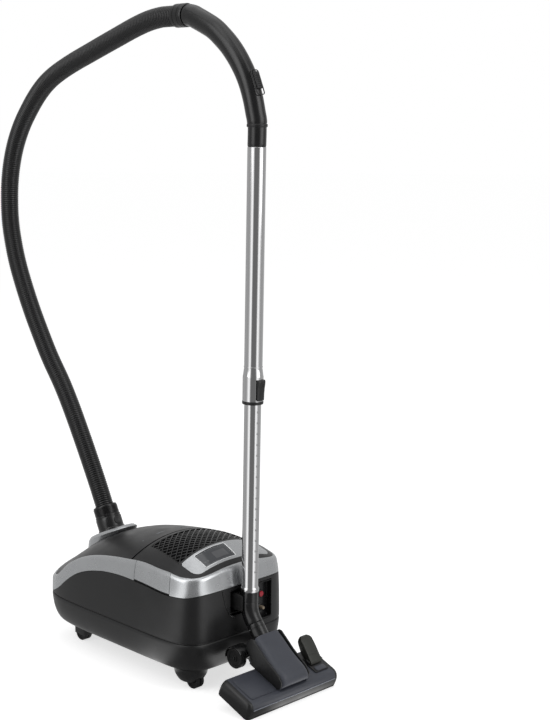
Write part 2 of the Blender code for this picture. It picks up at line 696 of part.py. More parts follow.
def exhaust_filter():
    """Pleated outlet filter in its frame under the grille."""
    (xa, ya), (xb, yb) = GRILLE_PLAN[1], GRILLE_PLAN[2]
    half = xa - 0.018 - 0.004
    pleats = 16
    path = []
    for k in range(pleats * 2 + 1):
        y = ya + 0.012 + (yb - ya - 0.030) * k / (pleats * 2)
        path.append((y, FILTER_TOP_Z - (0.009 if k % 2 else 0.0)))
    over = [Vector((-half, y, z)) for y, z in path]
    under = [Vector((-half, y, z - 0.0022)) for y, z in path[::-1]]
    ring = over + under
    other = [Vector((half, p.y, p.z)) for p in ring]
    obj = finish("exhaust_filter", loft([ring, other]), "fleece")
    y0 = ya + 0.012
    y1 = yb - 0.018
    z0 = FILTER_TOP_Z - 0.013
    z1 = FILTER_TOP_Z + 0.002
    frame = finish("frame", block((-half - 0.004, y0 - 0.004, z0), (half + 0.004, y1 + 0.004, z1)),
                   "fleece")
    shape(frame, block((-half + 0.001, y0 + 0.001, z0 - 0.01), (half - 0.001, y1 - 0.001, z1 + 0.01)))
    joined = bmesh.new()
    joined.from_mesh(frame.data)
    bpy.data.objects.remove(frame)
    shape(obj, joined, "UNION")
    return obj


# ---------------------------------------------------------------- castors
def castor_places():
    return [(CASTOR_X, CASTOR_FRONT_Y), (-CASTOR_X, CASTOR_FRONT_Y),
            (CASTOR_X, CASTOR_REAR_Y), (-CASTOR_X, CASTOR_REAR_Y)]


def castor(name, x, y, pod=False):
    """Swivelling housing with its twin wheel, trailing toward +Y."""
    wheel_y = y + CASTOR_TRAIL
    half = CASTOR_WHEEL / 2 + 0.0012
    reach = CASTOR_RADIUS + 0.0012

    def loop(grow, z):
        return rounded(2 * (half + grow), 2 * (reach + grow), 0.005 + grow, z, (x, wheel_y), 2)

    low = CASTOR_RADIUS - 0.002
    top = CASTOR_HOUSING - GAP
    wall = 0.002
    if pod:
        r = CASTOR_POD
        outside = [(0, low), (r - 0.004, low), (r - 0.001, low + 0.003), (r, low + 0.008), (r, top - 0.002),
                   (r - 0.0015, top), (0, top)]
        fork = finish(name + "_fork", turned(outside, (x, y, 0), (0, 0, 1), 28), "black_plastic")
        shape(fork, loft([loop(0, low - 0.005), loop(0, top - wall)]))
    else:
        rings = [loop(0, top - wall), loop(0, low), loop(wall, low), loop(wall, top - 0.004),
                 loop(wall - 0.002, top)]
        fork = finish(name + "_fork", loft(rings), "black_plastic")
    shape(fork, rod(0.0085, (x, y, top - 0.0015), (x, y, BODY_BOTTOM_Z - GAP), 8), "UNION")
    shape(fork, rod(CASTOR_STEM, (x, y, top - 0.001), (x, y, BODY_BOTTOM_Z + 0.0148), 8), "UNION")
    pin = 0.0022
    z = CASTOR_RADIUS
    shape(fork, rod(pin + GAP, (x - 0.03, wheel_y, z), (x + 0.03, wheel_y, z), 8))
    w = CASTOR_WHEEL / 2
    r = CASTOR_RADIUS
    out = half + wall - 0.0003
    profile = [(0, -out), (pin, -out), (pin, -w), (r - 0.0015, -w), (r, -w + 0.0015), (r, -0.0016),
               (r - 0.004, 0.0), (r, 0.0016), (r, w - 0.0015), (r - 0.0015, w), (pin, w), (pin, out),
               (0, out)]
    finish(name + "_wheel", turned(profile, (x, wheel_y, z), (1, 0, 0), 12), "black_rubber")


# ---------------------------------------------------------------- hose
HOSE_PATH = [(-219, 1316), (-259, 1318), (-306, 1310), (-352, 1298), (-399, 1283), (-446, 1268),
             (-495, 1252), (-547, 1235), (-599, 1215), (-640, 1194), (-675, 1167), (-705, 1136),
             (-732, 1103), (-755, 1064), (-771, 1023), (-781, 977), (-784, 932), (-782, 886),
             (-773, 841), (-757, 791), (-734, 741), (-705, 687), (-672, 634), (-637, 582),
             (-596, 531), (-561, 479), (-529, 426), (-499, 374), (-478, 332)]


def hose_line():
    """Centre line from the handle's cuff to the connector, straight for one diameter at each end."""
    start = Vector((0, WAND_Y - HANDLE_REACH - GAP, HANDLE_TOP_Z))
    end = INLET_BASE + INLET_AXIS * (CONNECTOR_LENGTH + GAP)
    first = start + Vector((0, -2 * HOSE_RADIUS, 0))
    last = end + INLET_AXIS * 2 * HOSE_RADIUS
    knots = [start, first]
    for y, z in HOSE_PATH:
        p = Vector((0, WAND_Y + y / 1000, z / 1000))
        if p.y < first.y - 0.02 and (p - last).length > 0.03 and (p.y < last.y or p.z > last.z + 0.02):
            knots.append(p)
    knots += [last, end]
    fine = []
    for k in range(len(knots) - 1):
        p0 = knots[max(k - 1, 0)]
        p1 = knots[k]
        p2 = knots[k + 1]
        p3 = knots[min(k + 2, len(knots) - 1)]
        if k == 0 or k == len(knots) - 2:
            p0, p3 = p1 - (p2 - p1), p2 + (p2 - p1)
        for n in range(24):
            s = n / 24
            fine.append(0.5 * ((2 * p1) + (p2 - p0) * s + (2 * p0 - 5 * p1 + 4 * p2 - p3) * s * s
                               + (3 * p1 - p0 - 3 * p2 + p3) * s ** 3))
    fine.append(knots[-1])
    for _ in range(40):
        keep = 26
        inner = fine[keep:-keep]
        smooth = [(a + 2 * b + c) / 4 for a, b, c in zip(fine[keep - 1:], inner, fine[keep + 1:])]
        fine[keep:-keep] = smooth[:len(inner)]
    return fine


def even(line, count):
    """Points of a line at even distances."""
    length = [0.0]
    for a, b in zip(line, line[1:]):
        length.append(length[-1] + (b - a).length)
    out = []
    k = 0
    for n in range(count):
        want = length[-1] * n / (count - 1)
        while k < len(line) - 2 and length[k + 1] < want:
            k += 1
        part = (want - length[k]) / max(length[k + 1] - length[k], 1e-9)
        out.append(line[k].lerp(line[k + 1], min(1, part)))
    return out, length[-1]


def hose_curve(name, points, radii, depth, sides):
    data = bpy.data.curves.new(name, "CURVE")
    data.dimensions = "3D"
    data.bevel_depth = depth
    data.bevel_resolution = sides
    data.use_fill_caps = True
    line = data.splines.new("POLY")
    line.points.add(len(points) - 1)
    for point, p, r in zip(line.points, points, radii):
        point.co = (*p, 1)
        point.radius = r
    obj = bpy.data.objects.new(name, data)
    bpy.context.collection.objects.link(obj)
    data.materials.append(MATERIALS["hose_plastic"])
    return obj


def hose():
    line = hose_line()
    points, length = even(line, HOSE_RIBS * 2)
    print("hose length", round(length, 4))
    radii = [1.0 if k % 2 == 0 else 1 - RIB_DEPTH / HOSE_RADIUS for k in range(len(points))]
    solid = hose_curve("hose", points, radii, HOSE_RADIUS, 2)
    bore_points, _ = even(line, 56)
    bore_points[0] += Vector((0, 0.004, 0))
    bore_points[-1] -= INLET_AXIS * 0.004
    bore = hose_curve("bore", bore_points, [1.0] * len(bore_points), HOSE_BORE, 2)
    graph = bpy.context.evaluated_depsgraph_get()
    mesh = bpy.data.meshes.new_from_object(solid.evaluated_get(graph))
    tool = bpy.data.meshes.new_from_object(bore.evaluated_get(graph))
    for curve in (solid, bore):
        bpy.data.objects.remove(curve)
    bm = bmesh.new()
    bm.from_mesh(mesh)
    obj = finish("hose", bm, "hose_plastic")
    cutter = bmesh.new()
    cutter.from_mesh(tool)
    bmesh.ops.remove_doubles(cutter, verts=cutter.verts, dist=0.00001)
    bmesh.ops.recalc_face_normals(cutter, faces=cutter.faces)
    shape(obj, cutter)
    return obj


# ---------------------------------------------------------------- handle and wand
HANDLE_PATH = [(-190, 1315.8), (-185, 1315.8), (-175, 1313), (-163, 1308), (-140, 1298), (-116, 1286), (-94, 1270),
               (-73, 1252), (-53, 1230), (-35, 1205), (-22, 1181), (-12, 1155), (-5, 1130),
               (-0.5, 1108.5), (0, 1108), (0, 1066)]


def wand_point(y, z):
    return Vector((0, WAND_Y + y / 1000, z / 1000))


def handle():
    tail = [wand_point(-190 - 10, 1315.8), wand_point(-190, 1315.8)]
    path = tail + [wand_point(y, z) for y, z in HANDLE_PATH]
    radii = [HANDLE_RADIUS - 0.0035, HANDLE_RADIUS - 0.0035]
    for k in range(len(HANDLE_PATH)):
        if k < len(HANDLE_PATH) - 2:
            s = k / (len(HANDLE_PATH) - 3)
            radii.append(HANDLE_RADIUS * (1 - s) + (CUFF_RADIUS + 0.0012) * s)
        else:
            radii.append(CUFF_RADIUS)
    end = wand_point(0, 1066)
    path += [end, end - Vector((0, 0, 0.026))]
    radii += [WAND_RADIUS - WAND_WALL - GAP, WAND_RADIUS - WAND_WALL - GAP]
    obj = finish("handle", pipe(path, radii, HANDLE_BORE - 0.001, 16), "black_gloss")
    shape(obj, slider_block(GAP * 1.5, -0.006, 0.02))
    return obj


SLIDER_MID = (-8.5, 1184.5)
SLIDER_WAY = Vector((0, 0.40, -0.917)).normalized()


def slider_block(grow, low, high):
    """Box lying along the handle's outer side."""
    out = Vector((0, -SLIDER_WAY.z, SLIDER_WAY.y))
    mid = wand_point(-20, 1181) + out * (CUFF_RADIUS + 0.0015)
    half = SLIDER_LENGTH / 2 + grow + (SLIDER_TRAVEL / 2 if grow else 0)
    shift = SLIDER_WAY * (SLIDER_TRAVEL / 2 if grow else 0)
    wide = 0.0075 + grow
    ring = []
    for h in (low if not grow else low - GAP, high):
        ring.append([mid + shift + Vector((sx * wide, 0, 0)) + SLIDER_WAY * (sy * half) + out * h
                     for sx, sy in ((1, 1), (-1, 1), (-1, -1), (1, -1))])
    return loft(ring)


def air_slider():
    obj = finish("air_slider", slider_block(0, -0.006 + GAP, 0.0045), "black_plastic")
    return obj


def hose_cuff():
    start = Vector((0, WAND_Y - HANDLE_REACH, HANDLE_TOP_Z))
    length = HANDLE_REACH - HANDLE_START - GAP
    r = CUFF_END_RADIUS
    inner = HANDLE_RADIUS - 0.0035 + GAP
    profile = [(HANDLE_BORE, 0), (r - 0.0015, 0), (r, 0.0015), (r, length - 0.001), (r - 0.001, length),
               (inner, length), (inner, length - 0.0103), (HANDLE_BORE, length - 0.0103)]
    return finish("hose_cuff", turned(profile, start, (0, 1, 0), 20), "black_gloss")


def upper_wand():
    inner = LOWER_RADIUS + 0.0005
    profile = [(WAND_RADIUS - WAND_WALL, WAND_TOP_Z - GAP), (WAND_RADIUS, WAND_TOP_Z - GAP),
               (WAND_RADIUS, SLEEVE_TOP_Z + 0.004), (SLEEVE_RADIUS, SLEEVE_TOP_Z - 0.011),
               (SLEEVE_RADIUS, SLEEVE_END_Z), (inner, SLEEVE_END_Z)]
    obj = finish("upper_wand", turned(profile, (0, WAND_Y, 0), (0, 0, 1), 24), "chrome_steel")
    z0 = SLEEVE_END_Z + 0.002
    shape(obj, block((-BUTTON_HALF - GAP, WAND_Y + 0.005, z0),
                     (BUTTON_HALF + GAP, WAND_Y + 0.03, z0 + BUTTON_LENGTH + 2 * GAP)))
    return obj


def wand_button():
    z0 = SLEEVE_END_Z + 0.002 + GAP
    z1 = z0 + BUTTON_LENGTH
    half = BUTTON_HALF
    across = (-half, -half / 2, 0.0, half / 2, half)
    under = [(x, math.sqrt(LOWER_RADIUS ** 2 - x * x) + BUTTON_TRAVEL + 0.0004) for x in across]
    rings = []
    for z, out in ((z0, 0.0020), (z1 - 0.004, 0.0052), (z1, 0.0045)):
        top = [(half, SLEEVE_RADIUS + out - 0.001), (half - 0.0015, SLEEVE_RADIUS + out),
               (0.0015 - half, SLEEVE_RADIUS + out), (-half, SLEEVE_RADIUS + out - 0.001)]
        rings.append([Vector((x, WAND_Y + y, z)) for x, y in under + top])
    return finish("wand_button", loft(rings), "black_plastic")


def wand_ring():
    top = SLEEVE_END_Z - GAP
    inner = LOWER_RADIUS + 0.0004
    r = SLEEVE_RADIUS + 0.0005
    profile = [(inner, top), (r, top), (r, top - RING_HEIGHT + 0.001), (inner, top - RING_HEIGHT)]
    return finish("wand_ring", turned(profile, (0, WAND_Y, 0), (0, 0, 1), 24), "black_plastic")


def lower_wand():
    r = LOWER_RADIUS
    inner = r - WAND_WALL
    end = LOWER_END_Z
    profile = [(inner, LOWER_TOP_Z), (r, LOWER_TOP_Z), (r, end + 0.009), (r + 0.00225, end + 0.006),
               (r + 0.00225, end), (inner, end)]
    obj = finish("lower_wand", turned(profile, (0, WAND_Y, 0), (0, 0, 1), 24), "chrome_steel")
    marks = bmesh.new()
    for k in range(NOTCHES):
        z = NOTCH_TOP_Z - NOTCH_PITCH * k
        one = block((-0.0055, WAND_Y + r - 0.0006, z - 0.0018), (0.0055, WAND_Y + r + 0.003, z + 0.0018))
        part = bpy.data.meshes.new("mark")
        one.to_mesh(part)
        one.free()
        marks.from_mesh(part)
        bpy.data.meshes.remove(part)
    shape(obj, marks)
    return obj


# ---------------------------------------------------------------- elbow and floor head
BEND = math.radians(ELBOW_BEND_DEG)
TAIL_WAY = Vector((0, math.sin(BEND), -math.cos(BEND)))
BEND_START_Z = 0.170


def elbow_joint():
    radius = BEND_RADIUS
    bend_end = Vector((0, WAND_Y + radius * (1 - math.cos(BEND)), BEND_START_Z - radius * math.sin(BEND)))
    return bend_end + TAIL_WAY * ELBOW_STUB


def elbow_cuff():
    top = LOWER_END_Z - GAP
    path = [Vector((0, WAND_Y, top + 0.028)), Vector((0, WAND_Y, top)), Vector((0, WAND_Y, top)),
            Vector((0, WAND_Y, BEND_START_Z))]
    inner = LOWER_RADIUS - WAND_WALL - GAP
    radii = [inner, inner, ELBOW_RADIUS, ELBOW_RADIUS]
    for k in range(1, 6):
        a = BEND * k / 5
        path.append(Vector((0, WAND_Y + BEND_RADIUS * (1 - math.cos(a)),
                            BEND_START_Z - BEND_RADIUS * math.sin(a))))
        radii.append(ELBOW_RADIUS)
    path.append(elbow_joint())
    radii.append(ELBOW_RADIUS)
    return finish("elbow_cuff", pipe(path, radii, ELBOW_BORE, 18), "black_gloss")


def head_point(u, v, w):
    """Point in the floor head's own frame: u across, v back from the nose, w up from the sole."""
    a = math.radians(HEAD_TILT_DEG)
    return Vector((u, HEAD_NOSE_Y - v * math.cos(a) + w * math.sin(a), v * math.sin(a) + w * math.cos(a)))


def in_head(bm):
    a = math.radians(HEAD_TILT_DEG)
    turn = Matrix(((1, 0, 0), (0, -math.cos(a), math.sin(a)), (0, math.sin(a), math.cos(a))))
    for v in bm.verts:
        v.co = turn @ v.co + Vector((0, HEAD_NOSE_Y, 0))
    bmesh.ops.reverse_faces(bm, faces=bm.faces)
    return bm


def knuckle():
    """Centre of the tilt hinge between the tail and the floor head."""
    return elbow_joint() + TAIL_WAY * KNUCKLE_REACH


def axle_point():
    return Vector((0, WAND_Y + 0.011, 0.073))


def link_plate(x0, x1, a, ra, b, rb, steps=7):
    """Plate shaped like a link round two centres in the plane across x."""
    way = (b - a).normalized()
    side = Vector((0, -way.z, way.y))
    ring = []
    for centre, radius, start in ((a, ra, 90), (b, rb, -90)):
        for k in range(steps):
            t = math.radians(start + 180 * k / (steps - 1))
            ring.append(centre + radius * (math.cos(t) * way + math.sin(t) * side))
    return loft([[Vector((x, p.y, p.z)) for p in ring] for x in (x0, x1)])


def elbow_tail():
    start = elbow_joint() + TAIL_WAY * GAP
    drum = knuckle()
    inner = ELBOW_BORE - GAP
    spigot = ELBOW_STUB - 0.001
    profile = [(inner, -spigot), (inner, 0), (ELBOW_RADIUS, 0), (ELBOW_RADIUS, KNUCKLE_REACH - 0.003),
               (0.0105, KNUCKLE_REACH - 0.003), (0.0105, -spigot)]
    obj = finish("elbow_tail", turned(profile, start, TAIL_WAY, 18), "black_gloss")
    shape(obj, rod(DRUM_RADIUS, drum - Vector((DRUM_HALF, 0, 0)), drum + Vector((DRUM_HALF, 0, 0)), 22),
          "UNION")
    axle = axle_point()
    for sign in (1, -1):
        x0 = sign * (DRUM_HALF - 0.001)
        x1 = sign * (DRUM_HALF + 0.004)
        shape(obj, link_plate(min(x0, x1), max(x0, x1), drum, 0.012, axle, 0.009), "UNION")
        arch = []
        for k in range(8):
            t = math.radians(35 + 150 * k / 7)
            way = Vector((0, math.cos(t), math.sin(t)))
            xa = sign * (DRUM_HALF + 0.002)
            xb = sign * (WHEEL_X1 + 0.001)
            arch.append([axle + way * r + Vector((x, 0, 0)) for x, r in (
                (xa, HEAD_WHEEL_RADIUS + 0.0012), (xb, HEAD_WHEEL_RADIUS + 0.0012),
                (xb, HEAD_WHEEL_RADIUS + 0.0034), (xa, HEAD_WHEEL_RADIUS + 0.0034))])
        shape(obj, loft(arch), "UNION")
        xc = sign * (DRUM_HALF + 0.0035)
        web = [axle + Vector((0, math.cos(t), math.sin(t))) * (HEAD_WHEEL_RADIUS + 0.0030)
               for t in (math.radians(35 + 150 * k / 7) for k in range(8))]
        web += [axle + Vector((0, -0.006, -0.004)), axle + Vector((0, 0.006, -0.004))]
        lo, hi = sorted((sign * (DRUM_HALF + 0.0015), xc + sign * 0.0010))
        shape(obj, loft([[Vector((x, p.y, p.z)) for p in web] for x in (lo, hi)]), "UNION")
    shape(obj, rod(0.0105, start - TAIL_WAY * 0.02, start + TAIL_WAY * 0.09, 20))
    for sign in (1, -1):
        for centre, radius, x0, x1 in ((drum, HINGE_ROD, DRUM_HALF, NECK_WIDTH / 2),
                                       (axle, AXLE_ROD, DRUM_HALF + 0.002, WHEEL_X1 + 0.0008)):
            shape(obj, rod(radius, centre + Vector((sign * x0, 0, 0)), centre + Vector((sign * x1, 0, 0)), 14),
                  "UNION")
    return obj


def head_shell_ring(half, v0, v1, w, round_=0.006):
    return [Vector((p.x, p.y, w)) for p in rounded(2 * half, v1 - v0, round_, w, (0, (v0 + v1) / 2), 3)]


def floor_head():
    """Sole, cover, hood and fittings, made in the head's own frame and tipped nose down."""
    half = HEAD_WIDTH / 2
    deep = HEAD_DEPTH
    tall = HEAD_HEIGHT
    sole = loft([head_shell_ring(half - 0.001, 0.0, deep, 0.0015, 0.008),
                 head_shell_ring(half - 0.001, 0.001, deep - 0.001, 0.0045, 0.008)])
    plate = finish("sole_plate", sole, "black_plastic")
    shape(plate, block((-half + 0.016, 0.0085, -0.01), (half - 0.016, 0.0175, 0.02)))
    shape(plate, block((-0.060, 0.030, -0.01), (0.060, 0.052, 0.02)))
    strip = block((-half + 0.0163, 0.0088, 0.0040), (half - 0.0163, 0.0172, 0.0080))
    strip_obj = finish("brush_strip", strip, "bristle")
    comb = bmesh.new()
    for k in range(12):
        u = -half + 0.024 + (2 * half - 0.048) * k / 11
        one = block((u - 0.0060, 0.0110, 0.0022), (u + 0.0060, 0.0150, 0.0060))
        part = bpy.data.meshes.new("tuft")
        one.to_mesh(part)
        one.free()
        comb.from_mesh(part)
        bpy.data.meshes.remove(part)
    shape(strip_obj, comb, "UNION")
    low = 0.0045 + GAP
    outer = [head_shell_ring(half, 0.0, deep, low, 0.009), head_shell_ring(half, 0.0, deep, tall * 0.45, 0.009),
             head_shell_ring(half - 0.002, 0.0045, deep - 0.001, tall * 0.80, 0.009),
             head_shell_ring(half - 0.007, 0.010, deep - 0.004, tall, 0.009)]
    inner = [head_shell_ring(half - 0.010, 0.013, deep - 0.007, tall - 0.0025, 0.008),
             head_shell_ring(half - 0.005, 0.007, deep - 0.004, tall * 0.78, 0.008),
             head_shell_ring(half - 0.0025, 0.0025, deep - 0.0025, tall * 0.45, 0.008),
             head_shell_ring(half - 0.0025, 0.0025, deep - 0.0025, low, 0.008)]
    cover = finish("head_cover", closed_shell(outer, inner), "blue_grey_plastic")
    shape(cover, block((-NECK_WIDTH / 2 + 0.004, 0.030, tall - 0.006), (NECK_WIDTH / 2 - 0.004, deep + 0.02,
                                                                     tall + 0.01)))
    hood()
    for name, u0, u1 in (("head_panel", 0.040, 0.111),):
        plan = [(u0, 0.0165), (u1, 0.0165), (u1, deep - 0.012), (u0, deep - 0.012)]
        panel = loft([[Vector((u, v, w)) for u, v in plan] for w in (tall + GAP, tall + 0.0018)])
        finish(name, panel, "blue_grey_plastic")
    pedal_parts(tall, deep)
    for name in ("sole_plate", "brush_strip", "head_cover", "neck_cover", "head_panel", "foot_pedal",
                 "pedal_base"):
        obj = bpy.data.objects[name]
        bm = bmesh.new()
        bm.from_mesh(obj.data)
        in_head(bm)
        bm.to_mesh(obj.data)
        bm.free()


def closed_shell(outer, inner):
    """Shell open below: outer rings up to the top, inner rings back down."""
    bm = bmesh.new()
    rows = [[bm.verts.new(p) for p in ring] for ring in outer]
    back = [[bm.verts.new(p) for p in ring] for ring in inner]
    count = len(rows[0])
    for one, two in list(zip(rows, rows[1:])) + list(zip(back, back[1:])) + [(back[-1], rows[0])]:
        for k in range(count):
            n = (k + 1) % count
            bm.faces.new((one[k], one[n], two[n], two[k]))
    bm.faces.new(rows[-1])
    bm.faces.new(back[0])
    return bm


def hood():
    """Arched cover that leads the air from the head to the tail."""
    half = NECK_WIDTH / 2
    wall = 0.0025
    base = HEAD_HEIGHT + GAP
    stations = [(0.0100, 0.042), (0.0065, 0.049), (0.011, 0.058), (0.024, 0.0655), (0.044, 0.0695),
                (0.066, 0.0750), (0.088, 0.0830), (0.110, 0.0898)]
    rings = []
    for n, (v, top) in enumerate(stations):
        s = n / (len(stations) - 1)
        foot_v = 0.0125 + (0.098 - 0.0125) * s
        arc = []
        back = []
        for k in range(9):
            t = math.pi * k / 8
            c = math.copysign(abs(math.cos(t)) ** 0.42, math.cos(t))
            g = abs(math.sin(t)) ** 0.42
            arc.append(Vector((half * c, foot_v + (v - foot_v) * g, base + (top - base) * g)))
            inner_v = foot_v + 0.002 * (1 - s)
            back.append(Vector(((half - wall) * c, inner_v + (v + wall * (1 - s) - inner_v) * g,
                                base + (top - wall - base) * g)))
        rings.append(arc + back[::-1])
    obj = finish("neck_cover", loft(rings), "blue_grey_plastic")
    centre = knuckle_in_head()
    for sign in (1, -1):
        x0, x1 = sorted((sign * (half + 0.0007), sign * (half - wall + 0.0004)))
        ear = [(0.0870, 0.0480), (0.0870, 0.0700)]
        for k in range(11):
            t = math.radians(105 - 210 * k / 10)
            ear.append((centre[0] + 0.0085 * math.cos(t), centre[1] + 0.0085 * math.sin(t)))
        shape(obj, loft([[Vector((x, v, w)) for v, w in ear] for x in (x0, x1)]), "UNION")
    shape(obj, rod(HINGE_ROD + GAP, (-0.06, *centre), (0.06, *centre), 14))
    return obj


def knuckle_in_head():
    a = math.radians(HEAD_TILT_DEG)
    d = knuckle() - Vector((0, HEAD_NOSE_Y, 0))
    return (-d.y * math.cos(a) + d.z * math.sin(a), d.y * math.sin(a) + d.z * math.cos(a))


def pedal_parts(tall, deep):
    """Rocking foot pedal that lowers the brush strip, on a base with a cross pin."""
    u0, u1 = PEDAL_U
    pin_v = 0.047
    pin_w = tall + 0.0055
    base = finish("pedal_base", block((u0 - 0.004, 0.020, tall + GAP), (u1 + 0.004, 0.075, tall + 0.0022)),
                  "black_plastic")
    for x0, x1 in ((u0 - 0.004, u0 - 0.0008), (u1 + 0.0008, u1 + 0.004)):
        shape(base, block((x0, pin_v - 0.005, tall + 0.001), (x1, pin_v + 0.005, pin_w + 0.004)), "UNION")
    shape(base, rod(0.0015 + GAP, (u0 - 0.03, pin_v, pin_w), (u1 + 0.03, pin_v, pin_w), 12))
    side = [(0.0400, pin_w - 0.0030), (0.0560, pin_w - 0.0018), (0.0740, tall + 0.0090),
            (0.0965, tall + 0.0115), (0.1010, tall + 0.0180), (0.0900, tall + 0.0290), (0.0760, tall + 0.0320),
            (0.0600, tall + 0.0250), (0.0470, tall + 0.0125), (0.0400, pin_w + 0.0030)]
    pedal = finish("foot_pedal", loft([[Vector((u, v, w)) for v, w in side] for u in (u0, u1)]),
                   "black_plastic")
    for x0, x1 in ((u0 - 0.0038, u0), (u1, u1 + 0.0038)):
        shape(pedal, rod(0.0015, (x0, pin_v, pin_w), (x1, pin_v, pin_w), 12), "UNION")


def head_wheels():
    axle = axle_point()
    r = HEAD_WHEEL_RADIUS
    width = WHEEL_X1 - WHEEL_X0
    for name, sign in (("head_wheel_left", 1), ("head_wheel_right", -1)):
        bore = AXLE_ROD + GAP
        profile = [(bore, 0), (r - 0.002, 0), (r, 0.0015), (r, width * 0.32), (r - 0.0025, width * 0.40),
                   (r, width * 0.48), (r, width - 0.0015), (r - 0.002, width), (r - 0.006, width),
                   (r - 0.008, width - 0.003), (bore, width - 0.003)]
        finish(name, turned(profile, axle + Vector((sign * WHEEL_X0, 0, 0)), (sign, 0, 0), 16),
               "black_rubber")


# ---------------------------------------------------------------- rear fittings
def parking_recess():
    """Pan in the rear wall with a half-round cradle that steadies the parked wand."""
    lo, hi = RECESS_Z
    x = RECESS_HALF - GAP
    y1 = BODY_REAR_Y - 0.0015
    y0 = BODY_REAR_Y - 0.020
    wall = 0.002
    pan = finish("parking_recess", block((-x, y0, lo + GAP), (x, y1, hi - GAP)), "black_plastic")
    shape(pan, block((-x + wall, y0 + wall, lo + GAP + wall), (x - wall, y1 + 0.02, hi - GAP - wall)))
    arm = ELBOW_RADIUS + 0.0003
    mid = (lo + hi) / 2
    cradle = finish("wand_cradle", block((-0.0215, y0 + wall + GAP, mid - 0.016), (0.0215, WAND_Y, mid + 0.016)),
                    "black_rubber")
    shape(cradle, rod(LOWER_RADIUS + 0.0032, (0, WAND_Y, mid - 0.05), (0, WAND_Y, mid + 0.05), 28))
    return arm


def lead_outlet():
    """Pan for the mains lead's mouth, with an indicator."""
    x0, x1, z0, z1 = OUTLET
    y1 = BODY_REAR_Y - 0.0015
    y0 = BODY_REAR_Y - 0.016
    wall = 0.002
    pan = finish("lead_outlet", block((x0 + GAP, y0, z0 + GAP), (x1 - GAP, y1, z1 - GAP)), "black_plastic")
    shape(pan, block((x0 + GAP + wall, y0 + wall, z0 + GAP + wall), (x1 - GAP - wall, y1 + 0.02, z1 - GAP - wall)))
    mid_x = (x0 + x1) / 2
    shape(pan, rod(0.0045, (mid_x, y0 - 0.01, z0 + 0.022), (mid_x, y0 + 0.01, z0 + 0.022), 14))
    finish("outlet_lamp", rod(0.0050, (mid_x, y0 + wall + GAP, z1 - 0.022),
                              (mid_x, y0 + wall + 0.0045, z1 - 0.022), 16), "red_plastic")


def lid_latch():
    z = LATCH_Z
    y = BODY_FRONT_Y
    grip = finish("lid_latch", block((-LATCH_HALF, y - 0.0035 + 0.0020, z - 0.006),
                                     (LATCH_HALF, y + 0.0060, z + 0.006)), "black_plastic")
    return grip


def front_window(obj):
    y = BODY_FRONT_Y
    shape(obj, block((-LATCH_HALF - GAP, y - 0.02, LATCH_Z - 0.006 - GAP),
                     (LATCH_HALF + GAP, y + 0.02, LATCH_Z + 0.006 + GAP)))


# ---------------------------------------------------------------- remaining sizes and places
CASTOR_STEM = 0.004
BELLY_PAD = (0.050, 0.100)   # half sizes of the raised pad under the casing
BELLY_Y = MIDDLE_Y + 0.01078
CASTOR_WHEEL = 0.019
RECESS_Z = (0.150, 0.1985)
RECESS_HALF = 0.034
OUTLET = (-0.088, -0.044, 0.117, 0.197)
BAND_JOINT = 0.0005
SPIGOT_RADIUS = 0.0205
INLET_BASE = Vector((0, INLET_Y, crown(0.0, INLET_Y) + 0.0126132))
HINGE_PIN = 0.0008
LID_SWING = 0.0032
HINGE_Z = crown(0.0, SEAM_Y) - 0.0026
RIM_HALF = BODY_WIDTH / 2 - 0.016       # the top panels' half width inside the band
GRILLE_FRONT = SEAM_Y + 0.012 * LONG
GRILLE_REAR = BODY_REAR_Y - 0.078 * LONG
CONSOLE_FRONT = BODY_REAR_Y - 0.068 * LONG
CONSOLE_REAR = BODY_REAR_Y - 0.011 - 0.011 * LONG
GRILLE_PLAN = [(-RIM_HALF * 0.88 / 1.32, GRILLE_FRONT), (RIM_HALF * 0.88 / 1.32, GRILLE_FRONT),
               (RIM_HALF * 1.04 / 1.32, GRILLE_REAR), (-RIM_HALF * 1.04 / 1.32, GRILLE_REAR)]
CONSOLE_PLAN = [(-RIM_HALF * 1.06 / 1.32, CONSOLE_FRONT), (RIM_HALF * 1.06 / 1.32, CONSOLE_FRONT),
                (RIM_HALF * 0.97 / 1.32, CONSOLE_REAR), (-RIM_HALF * 0.97 / 1.32, CONSOLE_REAR)]
GRILLE_RIBS = 17
GRILLE_SPINES = 3
BUTTON_WAY = Vector((0, INLET_AXIS.z, -INLET_AXIS.y))
LOCK_BUTTON = 0.0082
BULKHEAD_Y = SEAM_Y - 0.027476 * LONG
FILTER_RADIUS = 0.038
FILTER_Z = 0.120
FILTER_TOP_Z = crown(0.070 * WIDE, GRILLE_PLAN[1][1] + 0.008) - 0.0062
MOTOR_AT = (-0.062, 0.112)
MOTOR_RADIUS = 0.054
MOTOR_LENGTH = 0.120
REEL_AT = (0.028, 0.058, 0.115)
REEL_WIDTH = 0.060
REEL_RADIUS = 0.060
REEL_AXLE = 0.004
HANDLE_REACH = 0.2215
HANDLE_TOP_Z = 1.3158
HANDLE_START = 0.190
CUFF_END_RADIUS = 0.023
SLIDER_LENGTH = 0.034
SLIDER_TRAVEL = 0.008
BUTTON_HALF = 0.0095
BUTTON_LENGTH = 0.041
NOTCH_TOP_Z = 0.561
BEND_RADIUS = 0.050
ELBOW_STUB = 0.008
ELBOW_BORE = 0.0125
KNUCKLE_REACH = 0.0408
DRUM_RADIUS = 0.0168
DRUM_HALF = 0.0235
HINGE_ROD = 0.0025
AXLE_ROD = 0.003
WHEEL_X0 = 0.0372
WHEEL_X1 = 0.0535
PEDAL_U = (-0.110, -0.078)
LATCH_Z = 0.140
LATCH_HALF = 0.024


